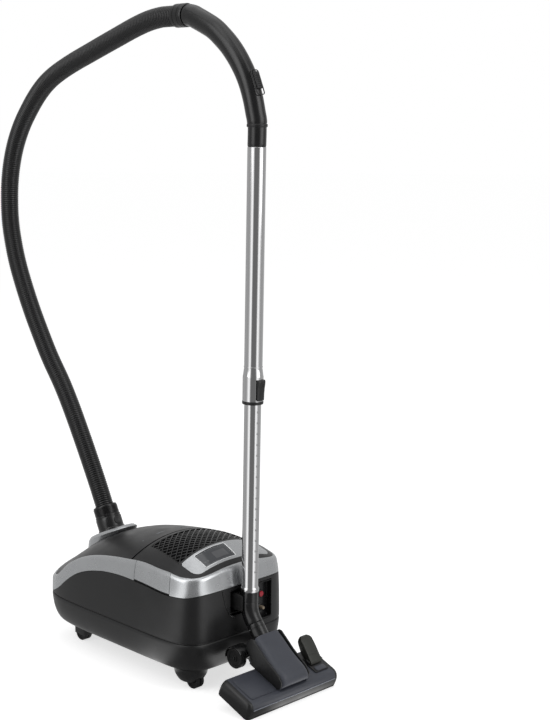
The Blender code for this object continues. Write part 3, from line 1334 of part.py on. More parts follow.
def build():
    for obj in list(bpy.data.objects):
        bpy.data.objects.remove(obj, do_unlink=True)
    material("black_plastic", (0.030, 0.030, 0.032), 0.42)
    material("black_gloss", (0.018, 0.018, 0.020), 0.22)
    material("silver_paint", (0.42, 0.43, 0.44), 0.30, 0.75)
    material("chrome_steel", (0.62, 0.62, 0.63), 0.12, 1.0)
    material("steel", (0.50, 0.50, 0.51), 0.30, 1.0)
    material("aluminium", (0.70, 0.70, 0.71), 0.35, 1.0)
    material("hose_plastic", (0.016, 0.016, 0.017), 0.28)
    material("black_rubber", (0.022, 0.022, 0.023), 0.70)
    material("grey_plastic", (0.20, 0.21, 0.22), 0.50)
    material("blue_grey_plastic", (0.068, 0.072, 0.090), 0.38)
    material("fleece", (0.74, 0.74, 0.71), 0.95)
    material("bristle", (0.05, 0.05, 0.055), 0.85)
    material("glass_dark", (0.02, 0.022, 0.026), 0.06)
    material("red_plastic", (0.45, 0.02, 0.03), 0.30)

    lower_shell()
    upper_shell()
    corner = nearest(1, BODY_FRONT_Y + 0.10 * BODY_LENGTH)
    mid = nearest(1, SEAM_Y)
    rear = nearest(1, BODY_REAR_Y - 0.165 * BODY_LENGTH)
    flip = lambda k: FACETS - k
    band("front_band", flip(corner) - FACETS, corner, "silver_paint")
    front_window(bpy.data.objects["front_band"])
    band("side_band_left", corner, mid, "silver_paint")
    band("rewind_pedal", mid, rear, "silver_paint", PEDAL_DROP + 0.0004)
    band("rear_band", rear, flip(rear), "silver_paint")
    band("power_pedal", flip(rear), flip(mid), "silver_paint", PEDAL_DROP + 0.0004)
    band("side_band_right", flip(mid), flip(corner), "silver_paint")
    front_lid()
    finish("lid_hinge_pin", rod(HINGE_PIN, (-0.0155, SEAM_Y, HINGE_Z), (0.0155, SEAM_Y, HINGE_Z), 12), "steel")
    rear_cover()
    exhaust_grille()
    window = lambda i, j: not (2 <= i <= 7 and 1 <= j <= 2)
    on_dome("control_console", CONSOLE_PLAN, GAP, 0.0, WALL, "silver_paint", 10, window)
    display_window()
    inlet_collar()
    hose_connector()
    lock_button("connector_button_rear", 1)
    lock_button("connector_button_front", -1)
    lid_latch()
    chassis()
    motor_parts()
    reel_parts()
    bag_parts()
    exhaust_filter()
    for name, (x, y) in zip(("castor_front_left", "castor_front_right", "castor_rear_left",
                             "castor_rear_right"), castor_places()):
        castor(name, x, y, "rear" in name)
    hose()
    hose_cuff()
    handle()
    air_slider()
    upper_wand()
    wand_button()
    wand_ring()
    lower_wand()
    elbow_cuff()
    elbow_tail()
    floor_head()
    head_wheels()
    parking_recess()
    lead_outlet()


PEDAL_DROP = 0.003


def display_window():
    """Dark pane let into the console."""
    (xa, ya), (xb, yb) = CONSOLE_PLAN[1], CONSOLE_PLAN[2]

    def place(u, v, side):
        vv = 0.25 + 0.5 * v
        half = xa + (xb - xa) * vv - GAP
        x = (-0.6 + 1.2 * (u + 1) / 2) * half
        y = ya + GAP + (yb - ya - 2 * GAP) * vv
        x += -math.copysign(GAP, x) if abs(abs(u) - 1) < 1e-6 else 0
        y += GAP if v == 0 else (-GAP if v == 1 else 0)
        return Vector((x, y, crown(x, y) - 0.0006 - (0 if side else 0.002)))

    return finish("display_window", perforated([-1 + 2 * k / 6 for k in range(7)], [0, 0.5, 1],
                                               lambda i, j: True, place), "glass_dark")


build()
print("objects", len(bpy.data.objects))
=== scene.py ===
import json
import math

import bmesh
import bpy
from mathutils import Matrix, Vector

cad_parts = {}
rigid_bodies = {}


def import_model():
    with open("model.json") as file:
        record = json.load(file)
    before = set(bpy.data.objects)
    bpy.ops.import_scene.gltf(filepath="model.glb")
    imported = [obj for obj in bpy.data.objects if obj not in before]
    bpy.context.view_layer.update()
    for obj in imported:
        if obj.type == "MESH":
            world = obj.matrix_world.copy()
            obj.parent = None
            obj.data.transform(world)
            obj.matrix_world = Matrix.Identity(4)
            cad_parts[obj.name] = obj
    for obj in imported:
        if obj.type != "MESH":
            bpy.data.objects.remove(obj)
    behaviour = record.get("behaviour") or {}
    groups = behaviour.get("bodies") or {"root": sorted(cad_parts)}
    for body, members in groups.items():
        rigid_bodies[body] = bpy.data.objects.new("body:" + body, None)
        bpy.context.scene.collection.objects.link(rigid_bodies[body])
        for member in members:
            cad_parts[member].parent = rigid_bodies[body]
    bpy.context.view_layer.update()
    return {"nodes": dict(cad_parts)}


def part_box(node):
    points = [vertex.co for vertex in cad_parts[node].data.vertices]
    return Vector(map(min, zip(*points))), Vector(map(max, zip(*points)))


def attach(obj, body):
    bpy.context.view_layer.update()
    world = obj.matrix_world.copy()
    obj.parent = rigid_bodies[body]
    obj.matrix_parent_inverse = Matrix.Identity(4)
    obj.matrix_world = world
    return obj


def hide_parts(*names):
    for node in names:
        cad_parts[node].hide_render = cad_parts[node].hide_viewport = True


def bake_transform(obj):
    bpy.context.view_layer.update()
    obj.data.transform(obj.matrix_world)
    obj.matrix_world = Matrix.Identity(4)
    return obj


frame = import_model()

nodes = frame["nodes"]

# the photograph's camera: the optical axis stands left of the picture's middle
view = {"azimuth": 137.5, "pitch": 9.86, "roll": 0.285, "distance": 2.65, "target": (0, 0.1805, 0.66),
        "aside": -0.17, "focal": 1378, "axisPixel": 165, "width": 550, "height": 720}


def placeCamera():
    turn = math.radians(view["azimuth"])
    dip = math.radians(view["pitch"])
    lean = math.radians(view["roll"])
    right = Vector((math.cos(turn), math.sin(turn), 0))
    back = Vector((math.sin(turn) * math.cos(dip), -math.cos(turn) * math.cos(dip), math.sin(dip)))
    up = back.cross(right)
    across = right * math.cos(lean) + up * math.sin(lean)
    upward = up * math.cos(lean) - right * math.sin(lean)
    lens = bpy.data.cameras.new("photoCamera")
    lens.sensor_width = 36
    lens.lens = view["focal"] / view["height"] * 36
    lens.shift_x = (view["width"] / 2 - view["axisPixel"]) / view["height"]
    lens.clip_end = 30
    camera = bpy.data.objects.new("photoCamera", lens)
    bpy.context.collection.objects.link(camera)
    place = Vector(view["target"]) + right * view["aside"] + back * view["distance"]
    camera.matrix_world = Matrix.Translation(place) @ Matrix((across, upward, back)).transposed().to_4x4()
    bpy.context.scene.camera = camera
    return back


towardCamera = placeCamera()
bpy.context.scene.view_settings.view_transform = "Standard"
print("camera placed")

# finishes: colour, a second colour it drifts to, roughness and its drift, surface grain
finishes = {}
finishSettings = {
    "black_plastic": {"colour": (0.012, 0.012, 0.0125), "drift": (0.016, 0.016, 0.0165), "rough": 0.36,
                      "roughDrift": 0.06, "cloud": 26, "grain": 1500, "bump": 0.10, "specular": 0.34},
    "black_gloss": {"colour": (0.008, 0.008, 0.0085), "drift": (0.011, 0.011, 0.0115), "rough": 0.24,
                    "roughDrift": 0.05, "cloud": 30, "grain": 700, "bump": 0.03, "specular": 0.40},
    "hose_plastic": {"colour": (0.006, 0.006, 0.0065), "drift": (0.009, 0.009, 0.0095), "rough": 0.24,
                     "roughDrift": 0.06, "cloud": 40, "grain": 900, "bump": 0.04, "specular": 0.42},
    "silver_paint": {"colour": (0.43, 0.44, 0.45), "drift": (0.47, 0.48, 0.49), "rough": 0.26,
                     "roughDrift": 0.05, "cloud": 22, "grain": 2600, "bump": 0.05, "metal": 0.80},
    "chrome_steel": {"colour": (0.46, 0.46, 0.465), "drift": (0.52, 0.52, 0.525), "rough": 0.13,
                     "roughDrift": 0.03, "cloud": 60, "grain": 1200, "bump": 0.02, "metal": 1.0,
                     "stretch": (1, 1, 0.02)},
    "steel": {"colour": (0.42, 0.42, 0.43), "drift": (0.50, 0.50, 0.51), "rough": 0.30, "roughDrift": 0.08,
              "cloud": 90, "grain": 1500, "bump": 0.05, "metal": 1.0},
    "aluminium": {"colour": (0.60, 0.60, 0.61), "drift": (0.68, 0.68, 0.69), "rough": 0.36,
                  "roughDrift": 0.08, "cloud": 60, "grain": 1800, "bump": 0.08, "metal": 1.0},
    "black_rubber": {"colour": (0.011, 0.011, 0.0115), "drift": (0.017, 0.017, 0.017), "rough": 0.62,
                     "roughDrift": 0.10, "cloud": 45, "grain": 1100, "bump": 0.16, "specular": 0.25},
    "grey_plastic": {"colour": (0.15, 0.16, 0.17), "drift": (0.19, 0.20, 0.21), "rough": 0.50,
                     "roughDrift": 0.08, "cloud": 40, "grain": 1300, "bump": 0.10, "specular": 0.35},
    "blue_grey_plastic": {"colour": (0.049, 0.053, 0.067), "drift": (0.060, 0.064, 0.079), "rough": 0.42,
                          "roughDrift": 0.06, "cloud": 30, "grain": 1500, "bump": 0.09, "specular": 0.34},
    "fleece": {"colour": (0.62, 0.62, 0.58), "drift": (0.74, 0.74, 0.70), "rough": 0.94, "roughDrift": 0.04,
               "cloud": 55, "grain": 2200, "bump": 0.45, "specular": 0.15},
    "bristle": {"colour": (0.030, 0.030, 0.034), "drift": (0.060, 0.060, 0.066), "rough": 0.80,
                "roughDrift": 0.10, "cloud": 400, "grain": 2600, "bump": 0.60, "stretch": (1, 0.1, 0.1),
                "specular": 0.2},
    "glass_dark": {"colour": (0.035, 0.038, 0.044), "drift": (0.050, 0.054, 0.061), "rough": 0.07,
                   "roughDrift": 0.02, "cloud": 30, "grain": 300, "bump": 0.005, "specular": 0.6},
    "red_plastic": {"colour": (0.42, 0.010, 0.030), "drift": (0.50, 0.020, 0.040), "rough": 0.28,
                    "roughDrift": 0.05, "cloud": 200, "grain": 1500, "bump": 0.05},
    "bright_rim": {"colour": (0.80, 0.81, 0.82), "drift": (0.84, 0.85, 0.86), "rough": 0.30,
                   "roughDrift": 0.03, "cloud": 40, "grain": 1500, "bump": 0.02, "metal": 0.25},
    "pane_line": {"colour": (0.32, 0.33, 0.34), "drift": (0.38, 0.39, 0.40), "rough": 0.40,
                  "roughDrift": 0.05, "cloud": 60, "grain": 1500, "bump": 0.02},
    "pane_zone": {"colour": (0.085, 0.088, 0.094), "drift": (0.11, 0.113, 0.12), "rough": 0.12,
                  "roughDrift": 0.03, "cloud": 30, "grain": 500, "bump": 0.01},
    "dark_fleece": {"colour": (0.030, 0.031, 0.033), "drift": (0.048, 0.049, 0.052), "rough": 0.92,
                    "roughDrift": 0.05, "cloud": 55, "grain": 2200, "bump": 0.45, "specular": 0.15},
    "rim_line": {"colour": (0.20, 0.215, 0.26), "drift": (0.25, 0.265, 0.31), "rough": 0.34,
                 "roughDrift": 0.05, "cloud": 60, "grain": 1500, "bump": 0.04},
    "olive_plastic": {"colour": (0.022, 0.023, 0.019), "drift": (0.030, 0.031, 0.026), "rough": 0.44,
                      "roughDrift": 0.06, "cloud": 40, "grain": 1400, "bump": 0.10, "specular": 0.35},
    # painted highlight: this beige stands in for the glint on a metal plug pin
    "painted_glint_beige": {"colour": (0.30, 0.24, 0.17), "drift": (0.36, 0.29, 0.21), "rough": 0.45,
                   "roughDrift": 0.06, "cloud": 200, "grain": 1500, "bump": 0.08},
}


def addNode(tree, kind, values=(), operation=None):
    node = tree.nodes.new("ShaderNode" + kind)
    if operation:
        node.operation = operation
    for socket, value in dict(values).items():
        node.inputs[socket].default_value = value
    return node


def makeFinish(name, s):
    mat = bpy.data.materials.new(name)
    mat.use_nodes = True
    tree = mat.node_tree
    shader = tree.nodes["Principled BSDF"]
    place = addNode(tree, "TexCoord")
    stretch = addNode(tree, "Mapping", {"Scale": s.get("stretch", (1, 1, 1))})
    cloud = addNode(tree, "TexNoise", {"Scale": s["cloud"], "Detail": 3})
    grain = addNode(tree, "TexNoise", {"Scale": s["grain"], "Detail": 2})
    tint = addNode(tree, "Mix")
    tint.data_type = "RGBA"
    tint.inputs[6].default_value = (*s["colour"], 1)
    tint.inputs[7].default_value = (*s["drift"], 1)
    gloss = addNode(tree, "MapRange", {"From Min": 0.3, "From Max": 0.7, "To Min": s["rough"] - s["roughDrift"],
                                       "To Max": s["rough"] + s["roughDrift"]})
    relief = addNode(tree, "Bump", {"Strength": s["bump"], "Distance": 0.0004})
    link = tree.links.new
    link(place.outputs["Object"], stretch.inputs["Vector"])
    link(stretch.outputs["Vector"], cloud.inputs["Vector"])
    link(stretch.outputs["Vector"], grain.inputs["Vector"])
    link(cloud.outputs["Fac"], tint.inputs["Factor"])
    link(tint.outputs[2], shader.inputs["Base Color"])
    link(cloud.outputs["Fac"], gloss.inputs["Value"])
    link(gloss.outputs["Result"], shader.inputs["Roughness"])
    link(grain.outputs["Fac"], relief.inputs["Height"])
    link(relief.outputs["Normal"], shader.inputs["Normal"])
    shader.inputs["Metallic"].default_value = s.get("metal", 0.0)
    shader.inputs["Specular IOR Level"].default_value = s.get("specular", 0.5)
    finishes[name] = mat


for finishName, settings in finishSettings.items():
    makeFinish(finishName, settings)
for node in nodes.values():
    for place in node.material_slots:
        key = place.material.name.split(".")[0]
        place.material = finishes.get(key, finishes["black_plastic"])
    node.data.shade_smooth()
    node.data.set_sharp_from_angle(angle=math.radians(32))
print("finishes made")


# skin over a stack of rings that have the same number of points
def ringSkin(rings, caps=True, closed=True):
    shape = bmesh.new()
    count = len(rings[0])
    verts = [shape.verts.new(point) for point in rings[0]]
    edges = [shape.edges.new((verts[k], verts[(k + 1) % count])) for k in range(count if closed else count - 1)]
    first = list(edges)
    for ring in rings[1:]:
        made = bmesh.ops.extrude_edge_only(shape, edges=edges)["geom"]
        fresh = {item for item in made if isinstance(item, bmesh.types.BMVert)}
        ahead = [next(e.other_vert(v) for e in v.link_edges if e.other_vert(v) in fresh) for v in verts]
        for vert, point in zip(ahead, ring):
            vert.co = point
        edges = [shape.edges.get((ahead[k], ahead[(k + 1) % count])) for k in range(count if closed else count - 1)]
        verts = ahead
    if caps:
        bmesh.ops.edgeloop_fill(shape, edges=first)
        bmesh.ops.edgeloop_fill(shape, edges=edges)
    return shape


# profile of (radius, height) turned about an axis
def turnedForm(profile, centre=(0, 0, 0), axis=(0, 0, 1), steps=48):
    shape = bmesh.new()
    verts = [shape.verts.new((radius, 0, height)) for radius, height in profile]
    edges = [shape.edges.new(pair) for pair in zip(verts, verts[1:])]
    if profile[0][0] > 1e-6 or profile[-1][0] > 1e-6:
        edges.append(shape.edges.new((verts[-1], verts[0])))
    bmesh.ops.spin(shape, geom=verts + edges, cent=(0, 0, 0), axis=(0, 0, 1), angle=2 * math.pi, steps=steps,
                   use_merge=True)
    bmesh.ops.remove_doubles(shape, verts=shape.verts, dist=1e-6)
    bmesh.ops.recalc_face_normals(shape, faces=shape.faces)
    upright = Vector(axis).normalized().to_track_quat("Z", "Y").to_matrix().to_4x4()
    bmesh.ops.transform(shape, matrix=Matrix.Translation(centre) @ upright, verts=shape.verts)
    return shape


# solid cylinder from one height to another
def rod(radius, start, end, centre, axis, steps):
    return turnedForm([(0, start), (radius, start), (radius, end), (0, end)], centre, axis, steps)


def roundedBox(low, high, radius=0.001, segments=3, only=None):
    shape = bmesh.new()
    bmesh.ops.create_cube(shape, size=1)
    middle = (Vector(low) + Vector(high)) / 2
    size = Vector(high) - Vector(low)
    bmesh.ops.scale(shape, vec=size, verts=shape.verts)
    bmesh.ops.translate(shape, vec=middle, verts=shape.verts)
    if radius:
        edges = [e for e in shape.edges if only is None or only((e.verts[0].co - e.verts[1].co).normalized())]
        bmesh.ops.bevel(shape, geom=edges, offset=radius, affect="EDGES", segments=segments, profile=0.5,
                        material=-1)
    return shape


# flat outline pushed along a way, its rims rounded
def extruded(outline, way, radius=0.0, segments=2):
    shape = bmesh.new()
    face = shape.faces.new([shape.verts.new(point) for point in outline])
    made = bmesh.ops.extrude_face_region(shape, geom=[face])["geom"]
    bmesh.ops.translate(shape, vec=way, verts=[v for v in made if isinstance(v, bmesh.types.BMVert)])
    bmesh.ops.recalc_face_normals(shape, faces=shape.faces)
    if radius:
        flat = Vector(way).normalized()
        rims = [e for e in shape.edges if abs((e.verts[0].co - e.verts[1].co).normalized().dot(flat)) < 0.5]
        bmesh.ops.bevel(shape, geom=rims, offset=radius, affect="EDGES", segments=segments, profile=0.5,
                        material=-1)
    return shape


# flat outline in x and y pushed up
def prism(points, low, tall, radius=0.0, segments=2):
    return extruded([Vector((x, y, low)) for x, y in points], Vector((0, 0, tall)), radius, segments)


# part of a shape behind a plane, closed again
def keptSide(shape, place, normal):
    made = bmesh.ops.bisect_plane(shape, geom=shape.verts[:] + shape.edges[:] + shape.faces[:], dist=1e-7,
                                  plane_co=place, plane_no=normal, clear_outer=True)
    rim = [item for item in made["geom_cut"] if isinstance(item, bmesh.types.BMEdge)]
    bmesh.ops.edgeloop_fill(shape, edges=rim)
    return shape


def roundedOutline(width, depth, corner, middle=(0, 0), steps=6):
    points = []
    for sx, sy, start in ((1, 1, 0), (-1, 1, 90), (-1, -1, 180), (1, -1, 270)):
        for k in range(steps + 1):
            turn = math.radians(start + 90 * k / steps)
            points.append((middle[0] + sx * (width / 2 - corner) + corner * math.cos(turn),
                           middle[1] + sy * (depth / 2 - corner) + corner * math.sin(turn)))
    return points


# round tube along a line in the plane x = 0
def pathTube(points, radii, sides=32, squeeze=None):
    rings = []
    for k, point in enumerate(points):
        tangent = Vector((0, 0, 0))
        for a, b in ((k, k + 1), (k - 1, k)):
            if 0 <= a and b < len(points) and (points[b] - points[a]).length > 1e-7:
                tangent += (points[b] - points[a]).normalized()
        side = Vector((1, 0, 0))
        up = tangent.normalized().cross(side)
        ring = []
        for n in range(sides):
            turn = 2 * math.pi * n / sides
            pull = 1 if squeeze is None else squeeze(turn, k / (len(points) - 1))
            ring.append(point + radii[k] * pull * (math.cos(turn) * side + math.sin(turn) * up))
        rings.append(ring)
    return ringSkin(rings)


def tempObject(shape):
    mesh = bpy.data.meshes.new("work")
    shape.to_mesh(mesh)
    shape.free()
    piece = bpy.data.objects.new("work", mesh)
    bpy.context.collection.objects.link(piece)
    return piece


def combined(shape, tool, how="DIFFERENCE"):
    for part in (shape, tool):
        bmesh.ops.remove_doubles(part, verts=part.verts, dist=1e-6)
        bmesh.ops.recalc_face_normals(part, faces=part.faces)
    piece = tempObject(shape)
    cutter = tempObject(tool)
    step = piece.modifiers.new("cut", "BOOLEAN")
    step.operation = how
    step.solver = "EXACT"
    step.object = cutter
    mesh = bpy.data.meshes.new_from_object(piece.evaluated_get(bpy.context.evaluated_depsgraph_get()))
    result = bmesh.new()
    result.from_mesh(mesh)
    for spare in (piece, cutter):
        old = spare.data
        bpy.data.objects.remove(spare)
        bpy.data.meshes.remove(old)
    bpy.data.meshes.remove(mesh)
    return result


def joined(*shapes):
    whole = bmesh.new()
    for shape in shapes:
        mesh = bpy.data.meshes.new("join")
        shape.to_mesh(mesh)
        shape.free()
        whole.from_mesh(mesh)
        bpy.data.meshes.remove(mesh)
    return whole


def newPiece(name, shape, finish, body=None, stands=(), sharp=30, soften=0.0):
    bmesh.ops.remove_doubles(shape, verts=shape.verts, dist=1e-6)
    bmesh.ops.recalc_face_normals(shape, faces=shape.faces)
    mesh = bpy.data.meshes.new(name)
    shape.to_mesh(mesh)
    shape.free()
    mesh.materials.append(finishes[finish])
    piece = bpy.data.objects.new(name, mesh)
    bpy.context.collection.objects.link(piece)
    mesh.shade_smooth()
    mesh.set_sharp_from_angle(angle=math.radians(sharp))
    if soften:
        edge = piece.modifiers.new("edge", "BEVEL")
        edge.width = soften
        edge.segments = 2
        edge.limit_method = "ANGLE"
        edge.angle_limit = math.radians(38)
        edge.use_clamp_overlap = True
    if body:
        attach(piece, body)
    if stands:
        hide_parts(*stands)
    return piece


# the hose: the same line as its solid, from the handle's cuff to the lid's connector
gap = 0.0003
wandY = 0.1805
inletTilt = math.radians(27)
inletAxis = Vector((0, -math.sin(inletTilt), math.cos(inletTilt)))
inletBase = Vector((0, -0.2405, 0.226))
acrossInlet = Vector((0, inletAxis.z, -inletAxis.y))
hoseForm = {"radius": 0.0205, "start": Vector((0, wandY - 0.2215 - gap, 1.3158)),
            "end": inletBase + inletAxis * (0.056 + gap), "ribs": 318, "sides": 20,
            "profile": (0.930, 0.978, 1.0, 1.0, 0.978),
            "knots": [(-219, 1316), (-259, 1318), (-306, 1310), (-352, 1298), (-399, 1283), (-446, 1268),
                      (-495, 1252), (-547, 1235), (-599, 1215), (-640, 1194), (-675, 1167), (-705, 1136),
                      (-732, 1103), (-755, 1064), (-771, 1023), (-781, 977), (-784, 932), (-782, 886),
                      (-773, 841), (-757, 791), (-734, 741), (-705, 687), (-672, 634), (-637, 582),
                      (-596, 531), (-561, 479), (-529, 426), (-499, 374), (-478, 332)]}


# point at share s between p1 and p2 on a curve through all four
def eased(p0, p1, p2, p3, s):
    return 0.5 * ((2 * p1) + (p2 - p0) * s + (2 * p0 - 5 * p1 + 4 * p2 - p3) * s * s
                  + (3 * p1 - p0 - 3 * p2 + p3) * s ** 3)


def hoseLine():
    first = hoseForm["start"] + Vector((0, -2 * hoseForm["radius"], 0))
    last = hoseForm["end"] + inletAxis * 2 * hoseForm["radius"]
    knots = [hoseForm["start"], first]
    for y, z in hoseForm["knots"]:
        point = Vector((0, wandY + y / 1000, z / 1000))
        clear = point.y < first.y - 0.02 and (point - last).length > 0.03
        if clear and (point.y < last.y or point.z > last.z + 0.02):
            knots.append(point)
    knots += [last, hoseForm["end"]]
    fine = []
    for k in range(len(knots) - 1):
        p0, p1, p2, p3 = knots[max(k - 1, 0)], knots[k], knots[k + 1], knots[min(k + 2, len(knots) - 1)]
        if k == 0 or k == len(knots) - 2:
            p0, p3 = p1 - (p2 - p1), p2 + (p2 - p1)
        fine += [eased(p0, p1, p2, p3, n / 24) for n in range(24)]
    fine.append(knots[-1])
    for _ in range(40):
        inner = fine[26:-26]
        fine[26:-26] = [(a + 2 * b + c) / 4 for a, b, c in zip(fine[25:], inner, fine[27:])][:len(inner)]
    return fine


# points spread evenly along a line, and the line's length
def evenly(line, count):
    run = [0.0]
    for a, b in zip(line, line[1:]):
        run.append(run[-1] + (b - a).length)
    out = []
    k = 0
    for n in range(count):
        want = run[-1] * n / (count - 1)
        while k < len(line) - 2 and run[k + 1] < want:
            k += 1
        out.append(line[k].lerp(line[k + 1], min(1, (want - run[k]) / max(run[k + 1] - run[k], 1e-9))))
    return out, run[-1]


def makeHose():
    per = len(hoseForm["profile"])
    points, length = evenly(hoseLine(), hoseForm["ribs"] * per + 1)
    radii = [hoseForm["radius"] * hoseForm["profile"][k % per] for k in range(len(points))]
    hose = newPiece("hoseRibbed", pathTube(points, radii, hoseForm["sides"]), "hose_plastic", sharp=75)
    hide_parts("hose")
    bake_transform(hose)


makeHose()
print("hose made")

# casing: tables of half width, draw-in, band edge, crown line and camber
casing = {
    "length": 0.472, "rear": 0.1605, "bottom": 0.040, "seam": 0.105, "lip": 0.006,
    "nosePower": 6.0, "tailPower": 6.5, "steps": 160,
    "side": [(0.040, 0.120), (0.046, 0.131), (0.060, 0.139), (0.080, 0.1445), (0.105, 0.1475),
             (0.150, 0.1465), (0.203, 0.1435), (0.235, 0.138), (0.253, 0.131), (0.290, 0.118)],
    "front": [(0.040, 0.022), (0.046, 0.012), (0.060, 0.005), (0.080, 0.001), (0.105, 0.0),
              (0.170, 0.001), (0.200, 0.005), (0.253, 0.011), (0.290, 0.02)],
    "back": [(0.040, 0.020), (0.046, 0.011), (0.060, 0.005), (0.080, 0.001), (0.105, 0.0),
             (0.203, 0.001), (0.235, 0.005), (0.253, 0.009), (0.290, 0.018)],
    "bandLow": [(0.0, 0.1075), (0.06, 0.109), (0.12, 0.122), (0.184, 0.146), (0.24, 0.165), (0.30, 0.180),
                (0.38, 0.192), (0.47, 0.200), (0.58, 0.2035), (0.70, 0.202), (0.86, 0.197), (0.94, 0.1985),
                (0.99, 0.204), (1.0, 0.205)],
    "crown": [(0.0, 0.162), (0.153, 0.210), (0.305, 0.246), (0.409, 0.259), (0.561, 0.271),
              (0.725, 0.279), (0.831, 0.278), (0.915, 0.265), (1.0, 0.239)],
    "camber": [(0.0, 0.048), (0.10, 0.052), (0.214, 0.037), (0.364, 0.034), (0.619, 0.038),
               (0.852, 0.0435), (0.936, 0.034), (1.0, 0.014)]}
frontY = casing["rear"] - casing["length"]
middleY = frontY + 0.51 * casing["length"]
seamY = frontY + 0.608 * casing["length"]


# smooth curve through a table of pairs, without overshoot
def readOff(table, at):
    if at <= table[0][0]:
        return table[0][1]
    if at >= table[-1][0]:
        return table[-1][1]
    k = next(i for i in range(len(table) - 1) if table[i][0] <= at <= table[i + 1][0])
    (x0, y0), (x1, y1) = table[k], table[k + 1]
    step = x1 - x0
    slope = (y1 - y0) / step
    before = slope if k == 0 else (y0 - table[k - 1][1]) / (x0 - table[k - 1][0])
    after = slope if k + 2 == len(table) else (table[k + 2][1] - y1) / (table[k + 2][0] - x1)
    m0 = 0.0 if before * slope <= 0 else 2 * before * slope / (before + slope)
    m1 = 0.0 if after * slope <= 0 else 2 * after * slope / (after + slope)
    s = (at - x0) / step
    return ((2 * s ** 3 - 3 * s * s + 1) * y0 + (s ** 3 - 2 * s * s + s) * step * m0
            + (3 * s * s - 2 * s ** 3) * y1 + (s ** 3 - s * s) * step * m1)


# unit directions round the plan, closer where it turns
def planOutline(count, samples=2400, narrow=0.62):
    quarter = count // 4
    sides = []
    for power, sign in ((casing["nosePower"], -1), (casing["tailPower"], 1)):
        fine = []
        for k in range(samples + 1):
            turn = math.pi / 2 * k / samples
            c, s = math.sin(turn), math.cos(turn)
            r = (c ** power + s ** power) ** (-1 / power)
            fine.append((r * c, r * s))
        weight = [0.0]
        heading = None
        for (x0, y0), (x1, y1) in zip(fine, fine[1:]):
            turn = math.atan2(y1 - y0, (x1 - x0) * narrow)
            bend = 0 if heading is None else abs(turn - heading)
            heading = turn
            weight.append(weight[-1] + math.hypot((x1 - x0) * narrow, y1 - y0) + 0.8 * bend)
        picks = []
        k = 0
        for n in range(quarter + 1):
            while k < samples and weight[k] < weight[-1] * n / quarter:
                k += 1
            picks.append((fine[k][0], sign * fine[k][1]))
        sides.append(picks)
    right = sides[0] + sides[1][::-1][1:]
    return right + [(-x, y) for x, y in right[::-1]][1:-1]


plan = planOutline(casing["steps"])


# the casing's outside at direction k and height z
def skin(k, z, inset=0.0):
    low = int(math.floor(k))
    part = k - low
    (x0, y0), (x1, y1) = plan[low % len(plan)], plan[(low + 1) % len(plan)]
    ux = x0 + (x1 - x0) * part
    uy = y0 + (y1 - y0) * part
    x = ux * (readOff(casing["side"], z) - inset)
    if uy < 0:
        return Vector((x, middleY + uy * (middleY - frontY - readOff(casing["front"], z) - inset), z))
    return Vector((x, middleY + uy * (casing["rear"] - middleY - readOff(casing["back"], z) - inset), z))


# height of the domed top
def crown(x, y):
    f = (y - frontY) / casing["length"]
    return readOff(casing["crown"], f) - readOff(casing["camber"], f) * abs(x / 0.14) ** 2.2


def bandLow(k):
    return readOff(casing["bandLow"], (skin(k, casing["seam"]).y - frontY) / casing["length"])


bandTopKept = {}


# height where the band's lip meets the dome
def bandTop(k):
    if k not in bandTopKept:
        z = 0.2
        for _ in range(12):
            at = skin(k, z - casing["lip"], casing["lip"])
            z = crown(at.x, at.y)
        bandTopKept[k] = z
    return bandTopKept[k]


def level(z, inset=0.0):
    return [skin(k, z, inset) for k in range(casing["steps"])]


def lowerShellShape():
    z0, zs = casing["bottom"], casing["seam"]
    rings = [level(z0, 0.012), level(z0, 0.002)]
    rings += [level(z) for z in (z0 + 0.0006, 0.042, 0.044, 0.0465, 0.050, 0.055, 0.061, 0.068, 0.077, 0.087,
                                 0.096, zs - 0.0034)]
    rings += [level(zs - 0.0022, 0.0004), level(zs - 0.0014, 0.0011), level(zs - 0.0010, 0.0022),
              level(zs + 0.0014, 0.0024), level(zs + 0.0014, 0.0030), level(0.08, 0.0030),
              level(0.055, 0.0035), level(0.0475, 0.0045), level(z0 + 0.003, 0.012)]
    return ringSkin(rings)


def upperShellShape():
    low = casing["seam"] + 0.0015
    tops = [bandLow(k) - 0.0003 for k in range(casing["steps"])]
    brims = [max(top, low + 0.003) for top in tops]
    rows = [(lambda k: low, 0.003), (lambda k: low, 0.0010), (lambda k: low + 0.0007, 0.0002)]
    rows += [(lambda k, s=s: low + 0.0012 + (brims[k] - low - 0.002) * s, 0.0)
             for s in (0.02, 0.15, 0.3, 0.45, 0.6, 0.75, 0.9)]
    rows += [(lambda k: brims[k] - 0.0003, 0.0), (lambda k: brims[k], 0.0006), (lambda k: brims[k], 0.0040),
             (lambda k: tops[k] + 0.004, 0.0040), (lambda k: tops[k] + 0.004, 0.0060),
             (lambda k: low + 0.002, 0.0060)]
    rings = [[skin(k, height(k), inset) for k in range(casing["steps"])] for height, inset in rows]
    return ringSkin(rings + [rings[0]], caps=False)


# rear wall: a lipped parking recess and, beside it, the pan of the mains lead
rearWall = {"recess": [(0.0330, 0.1992), (0.0330, 0.1480), (0.0290, 0.1452), (-0.0330, 0.1452), (-0.0330, 0.1992)],
            "outlet": [(-0.0460, 0.1965), (-0.0480, 0.1985), (-0.0850, 0.1985), (-0.0870, 0.1965),
                       (-0.0870, 0.1190), (-0.0850, 0.1170), (-0.0480, 0.1170), (-0.0460, 0.1190)]}


def rearCutter(outline, depth):
    points = [Vector((x, casing["rear"] + 0.01, z)) for x, z in outline]
    return extruded(points, Vector((0, -0.01 - depth, 0)))


